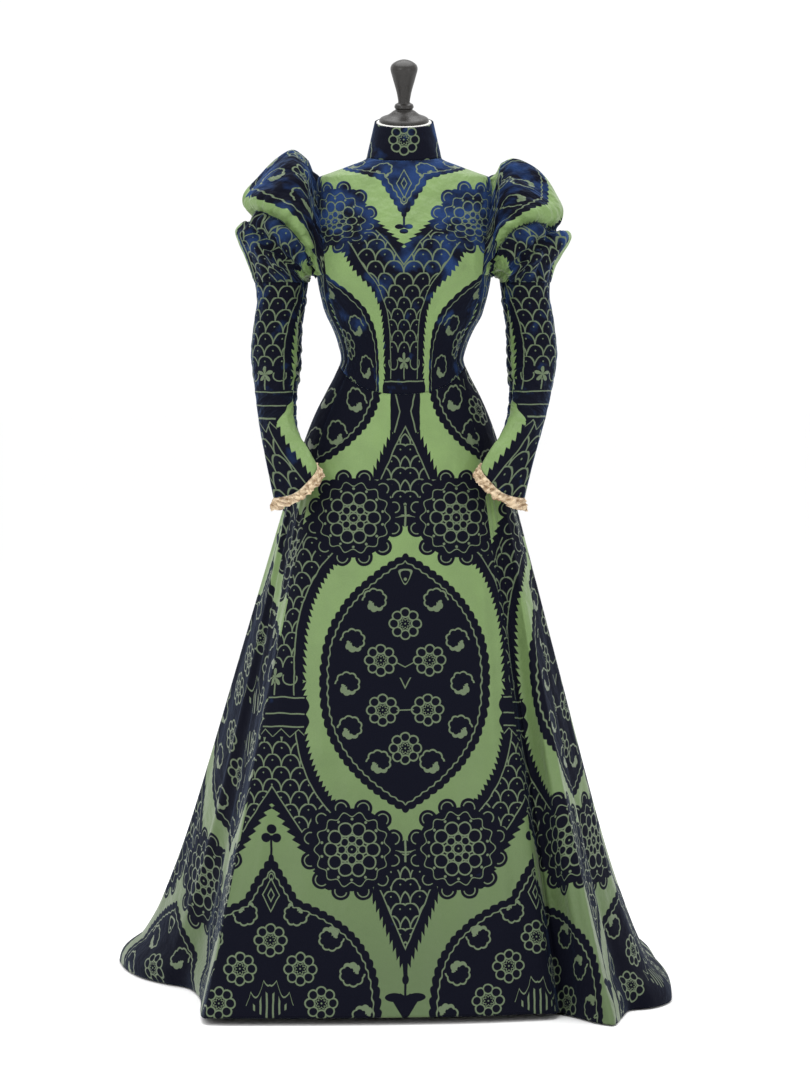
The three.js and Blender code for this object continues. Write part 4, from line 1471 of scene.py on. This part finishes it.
def gathers(side, around, up):
    """A deep tuck between the tiers, the lobes it throws up, and gathers that run from it."""
    over = up - tier_line(side, around)
    outer = smooth((1 + np.cos(around)) / 0.9)
    tiers = sum(height * ridge(over - place, width) for height, place, width in TIER_RIDGES)
    near = ridge(over - 0.06, 0.09) + 0.8 * ridge(over + 0.05, 0.08) + ridge(up - 1.0, 0.12)
    fine = uneven(17 * around + 4 * up, 1.3 + side) * near
    broad = uneven(7 * around + 6 * over * side, 0.4 + side)
    lap = SEAM_LAP_LIFT * smooth((up - LAP_FROM) / 0.03)
    return (tiers * outer + GATHER_HEIGHT * (fine + broad)) * between(up, (0, 1), 0.05) + lap


def gathered_cloth(side, across, down):
    """Flat coordinates of a sleeve head: the tuck hides cloth, so the pattern jumps there.

    Above the tuck the cloth runs crosswise, and below it with the close sleeve's grain.
    """
    crosswise, shift = HEAD_PATTERN[side]
    above = down < 0
    flat_across = np.where(above, CROSS_EDGE + crosswise * down - SLEEVE_ACROSS[side], across)
    flat_down = np.where(above, crosswise * across + shift - SLEEVE_DOWN, down - LOW_TIER)
    return flat_across, flat_down


def lapped_puff(side, around, up):
    points = puff(side, around, up)
    points[..., 0] -= side * SEAM_LAP * smooth((up - LAP_FROM) / (1 - LAP_FROM))
    return points


def front_of_arm(side, around, points):
    return around + side * math.pi / 2


def turned_with_arm(side, across, down):
    """Flat coordinates of a close sleeve, which twists a little below the elbow."""
    twist = -side * ARM_TWIST * smooth((down - TWIST_FROM) / TWIST_FADE)
    taken = EASED_AWAY * np.maximum(0.0, down - EASED_FROM)
    return across + twist, down - taken


def wrinkles(side, around, up):
    inside = 0.5 - 0.5 * np.cos(around)
    bend = ridge(up - 0.55, 0.22) + 0.5 * ridge(up - 0.92, 0.1)
    rings = uneven(78 * up + 1.2 * np.sin(around + side), 0.9 * side)
    height = WRINKLE_HEIGHT * (0.35 + 0.65 * inside) * (0.3 + bend)
    return height * rings * between(up, (0, 1), 0.04)


print("gathers", GATHER_HEIGHT, "mm high, wrinkles", WRINKLE_HEIGHT, "mm")

# %% Make the sleeves
puff_rows = np.linspace(0, 1, 110)
arm_rows = np.linspace(0, 1, 96)
for side, side_name in NAMES.items():
    head_node = f"sleeve_head_{side_name}"
    arm_grain = partial(front_of_arm, side)
    head = sheet_of_cloth(
        head_node + "_cloth", partial(lapped_puff, side), sleeve_velvet[side], puff_rows,
        ALL_ROUND, 150, partial(gathers, side), grain=arm_grain, level=partial(tier_line, side),
        closed=True, fitted=partial(gathered_cloth, side),
    )
    finish_cloth(head, head_node)
    first, last = sorted([math.pi + side * SLEEVE_FRONT_SEAM, math.pi - side * SLEEVE_BACK_SEAM])
    turned = partial(turned_with_arm, side)
    arm_pieces = [
        ("under", first, last, 20, None, None, (0.085, 0.36), 0.023),
        ("upper", last - 2 * math.pi, first, 52, arm_grain, turned, (0.215, 0.4), 0.067),
    ]
    for place, low, high, count, grain, fitted, flat, area in arm_pieces:
        node = f"sleeve_{place}_{side_name}"
        part = sheet_of_cloth(
            node + "_cloth", partial(sleeve, side), sleeve_velvet[side], arm_rows,
            (at_angle(low), at_angle(high)), count, partial(wrinkles, side), grain=grain,
            level=1.0, fitted=fitted,
        )
        finish_cloth(part, node)

# %% [markdown]
# ## The lace frills
# Each cuff has a narrow frill of lace, gathered tight and crumpled with wear. A ring of waves
# with finer crumples on top gives it an edge that never lies in one plane.

# %% Make the frills
FRILL_GAP = 1.1
FRILL_LENGTH = 20
FRILL_FLARE = 8
FRILL_WAVES = 14
FRILL_WAVE = 2.6
LACE_THICKNESS = 0.7


def sleeve_middle(side, up):
    near = sleeve(side, np.array(0.0), np.array(up))
    far = sleeve(side, np.array(math.pi), np.array(up))
    return (near + far) / 2


def frill(side, around, up):
    hand = sleeve_middle(side, 0.0) - sleeve_middle(side, 0.1)
    hand = hand / np.linalg.norm(hand)
    down = (1 - up)[..., None]
    edge = sleeve(side, around, 0 * up)
    outward = edge - sleeve_middle(side, 0.0)
    outward = outward - (outward @ hand)[..., None] * hand
    outward = outward / np.linalg.norm(outward, axis=-1, keepdims=True)
    wave = FRILL_WAVE * np.cos(FRILL_WAVES * around)[..., None]
    spread = FRILL_FLARE * down + wave * smooth(down)
    return edge + hand * (FRILL_GAP + FRILL_LENGTH * down) + outward * spread


def crumples(side, around, up):
    down = 1 - up
    fine = uneven(29 * around + 5 * down, 1.7 * side)
    cross = uneven(13 * around - 7 * down, 0.6 * side)
    return (2.4 * fine + 2.6 * cross) * smooth(down / 0.3)


for side, side_name in NAMES.items():
    ruffle = sheet_of_cloth(
        f"cuff_frill_{side_name}_lace", partial(frill, side), lace, np.linspace(0, 1, 18),
        (at_angle(0.0), at_angle(2 * math.pi)), 320, partial(crumples, side), level=1.0,
        closed=True, thickness=LACE_THICKNESS,
    )
    finish_cloth(ruffle, f"cuff_frill_{side_name}")

# %% [markdown]
# ## The dress form
# The form's solids are already the right shape, so they only need their finishes. The turned
# knob shows above the collar, so it gets a rounder turning of its own.

# %% Finish the form and turn the knob
KNOB = [  # radius and height
    (0, 0), (40.5, 0), (41, 3), (38, 6.5), (27, 11), (19, 17), (14, 21), (16, 24.5), (15, 28.5),
    (9.6, 33), (12, 48), (18, 70), (22.5, 88), (21, 94), (12, 101), (4, 103.5), (0, 104),
]
KNOB_Z = 1428.3
KNOB_SIDES = 96
KNOB_STEPS = 6

form_finishes = {"torso": calico, "neck": calico, "pole": wood, "base": wood}
for place, finish in form_finishes.items():
    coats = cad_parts[f"form_{place}"].data.materials
    coats.clear()
    coats.append(finish)

row_number = np.arange(len(KNOB))
fine_number = np.linspace(0, len(KNOB) - 1, (len(KNOB) - 1) * KNOB_STEPS + 1)
knob_radius = column(row_number, [radius for radius, _ in KNOB])(fine_number)
knob_height = column(row_number, [height for _, height in KNOB])(fine_number)


def turning(around, number):
    """The knob's surface, square to the neck's slanting top."""
    lean = math.atan(COLLAR_SLOPE)
    radius = np.interp(number, fine_number, knob_radius)
    height = np.interp(number, fine_number, knob_height)
    x = radius * np.cos(around)
    y = radius * np.sin(around)
    turned_y = y * math.cos(lean) - height * math.sin(lean)
    turned_z = y * math.sin(lean) + height * math.cos(lean) + KNOB_Z
    return np.stack([x, turned_y, turned_z], axis=-1)


around, number = np.meshgrid(np.linspace(0, 2 * math.pi, KNOB_SIDES + 1), fine_number)
knob_points = turning(around, number)
knob_across = lengths(knob_points, 1)
knob_down = lengths(knob_points, 0)
knob_mesh = make_mesh("form_knob_turned", knob_points, knob_across, knob_down, True)
knob_mesh.materials.append(wood)
join = bmesh.new()
join.from_mesh(knob_mesh)
bmesh.ops.remove_doubles(join, verts=join.verts, dist=0.00001)
join.to_mesh(knob_mesh)
join.free()
knob = add_object("form_knob_turned", knob_mesh)
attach(knob, "root")
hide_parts("form_knob")
print("knob of", len(knob_mesh.polygons), "faces")

# %% [markdown]
# ## The studio
# A pale floor reaches to a white horizon, so nothing stands behind the gown. Wide soft lights
# hang in front, above and to both sides.

# %% Lay the floor
FLOOR_HALF = 60.0
PAPER = (0.965, 0.965, 0.965)

floor_mesh = bpy.data.meshes.new("studio floor")
floor_corners = [
    (-FLOOR_HALF, -FLOOR_HALF, 0.0), (FLOOR_HALF, -FLOOR_HALF, 0.0),
    (FLOOR_HALF, FLOOR_HALF, 0.0), (-FLOOR_HALF, FLOOR_HALF, 0.0),
]
floor_mesh.from_pydata(floor_corners, [], [(0, 1, 2, 3)])
paper, paper_tree = new_material("pale paper")
show(paper_tree, shader(paper_tree, PAPER, 0.8, Specular_IOR_Level=0.1))
floor_mesh.materials.append(paper)
studio_floor = add_object("studio_floor", floor_mesh)
print("floor laid")


# %% Hang the lights
SKY_LIGHT = 1.04


def soft_light(name, place, aim, size, power):
    data = bpy.data.lights.new(name, "AREA")
    data.shape = "RECTANGLE"
    data.size, data.size_y = size
    data.energy = power
    lamp = add_object(name, data)
    lamp.location = place
    direction = Vector(aim) - Vector(place)
    lamp.rotation_euler = direction.to_track_quat("-Z", "Y").to_euler()


soft_light("key", (-2.6, -4.2, 2.6), (0, 0, 0.8), (1.6, 2.2), 56)
soft_light("fill", (3.0, -4.0, 1.8), (0, 0, 0.8), (1.8, 2.4), 36)
soft_light("top", (0, 0.3, 4.2), (0, 0, 0.6), (3.2, 3.2), 110)
soft_light("back left", (-3.0, 3.0, 2.6), (0, 0.2, 0.6), (1.6, 2.4), 8)
soft_light("back right", (3.0, 3.0, 2.6), (0, 0.2, 0.6), (1.6, 2.4), 8)

world = bpy.data.worlds.new("studio")
world.use_nodes = True
background = world.node_tree.nodes["Background"]
background.inputs["Color"].default_value = (1.0, 1.0, 1.0, 1.0)
background.inputs["Strength"].default_value = SKY_LIGHT
scene.world = world
scene.view_settings.view_transform = "Standard"
print("lights hung")
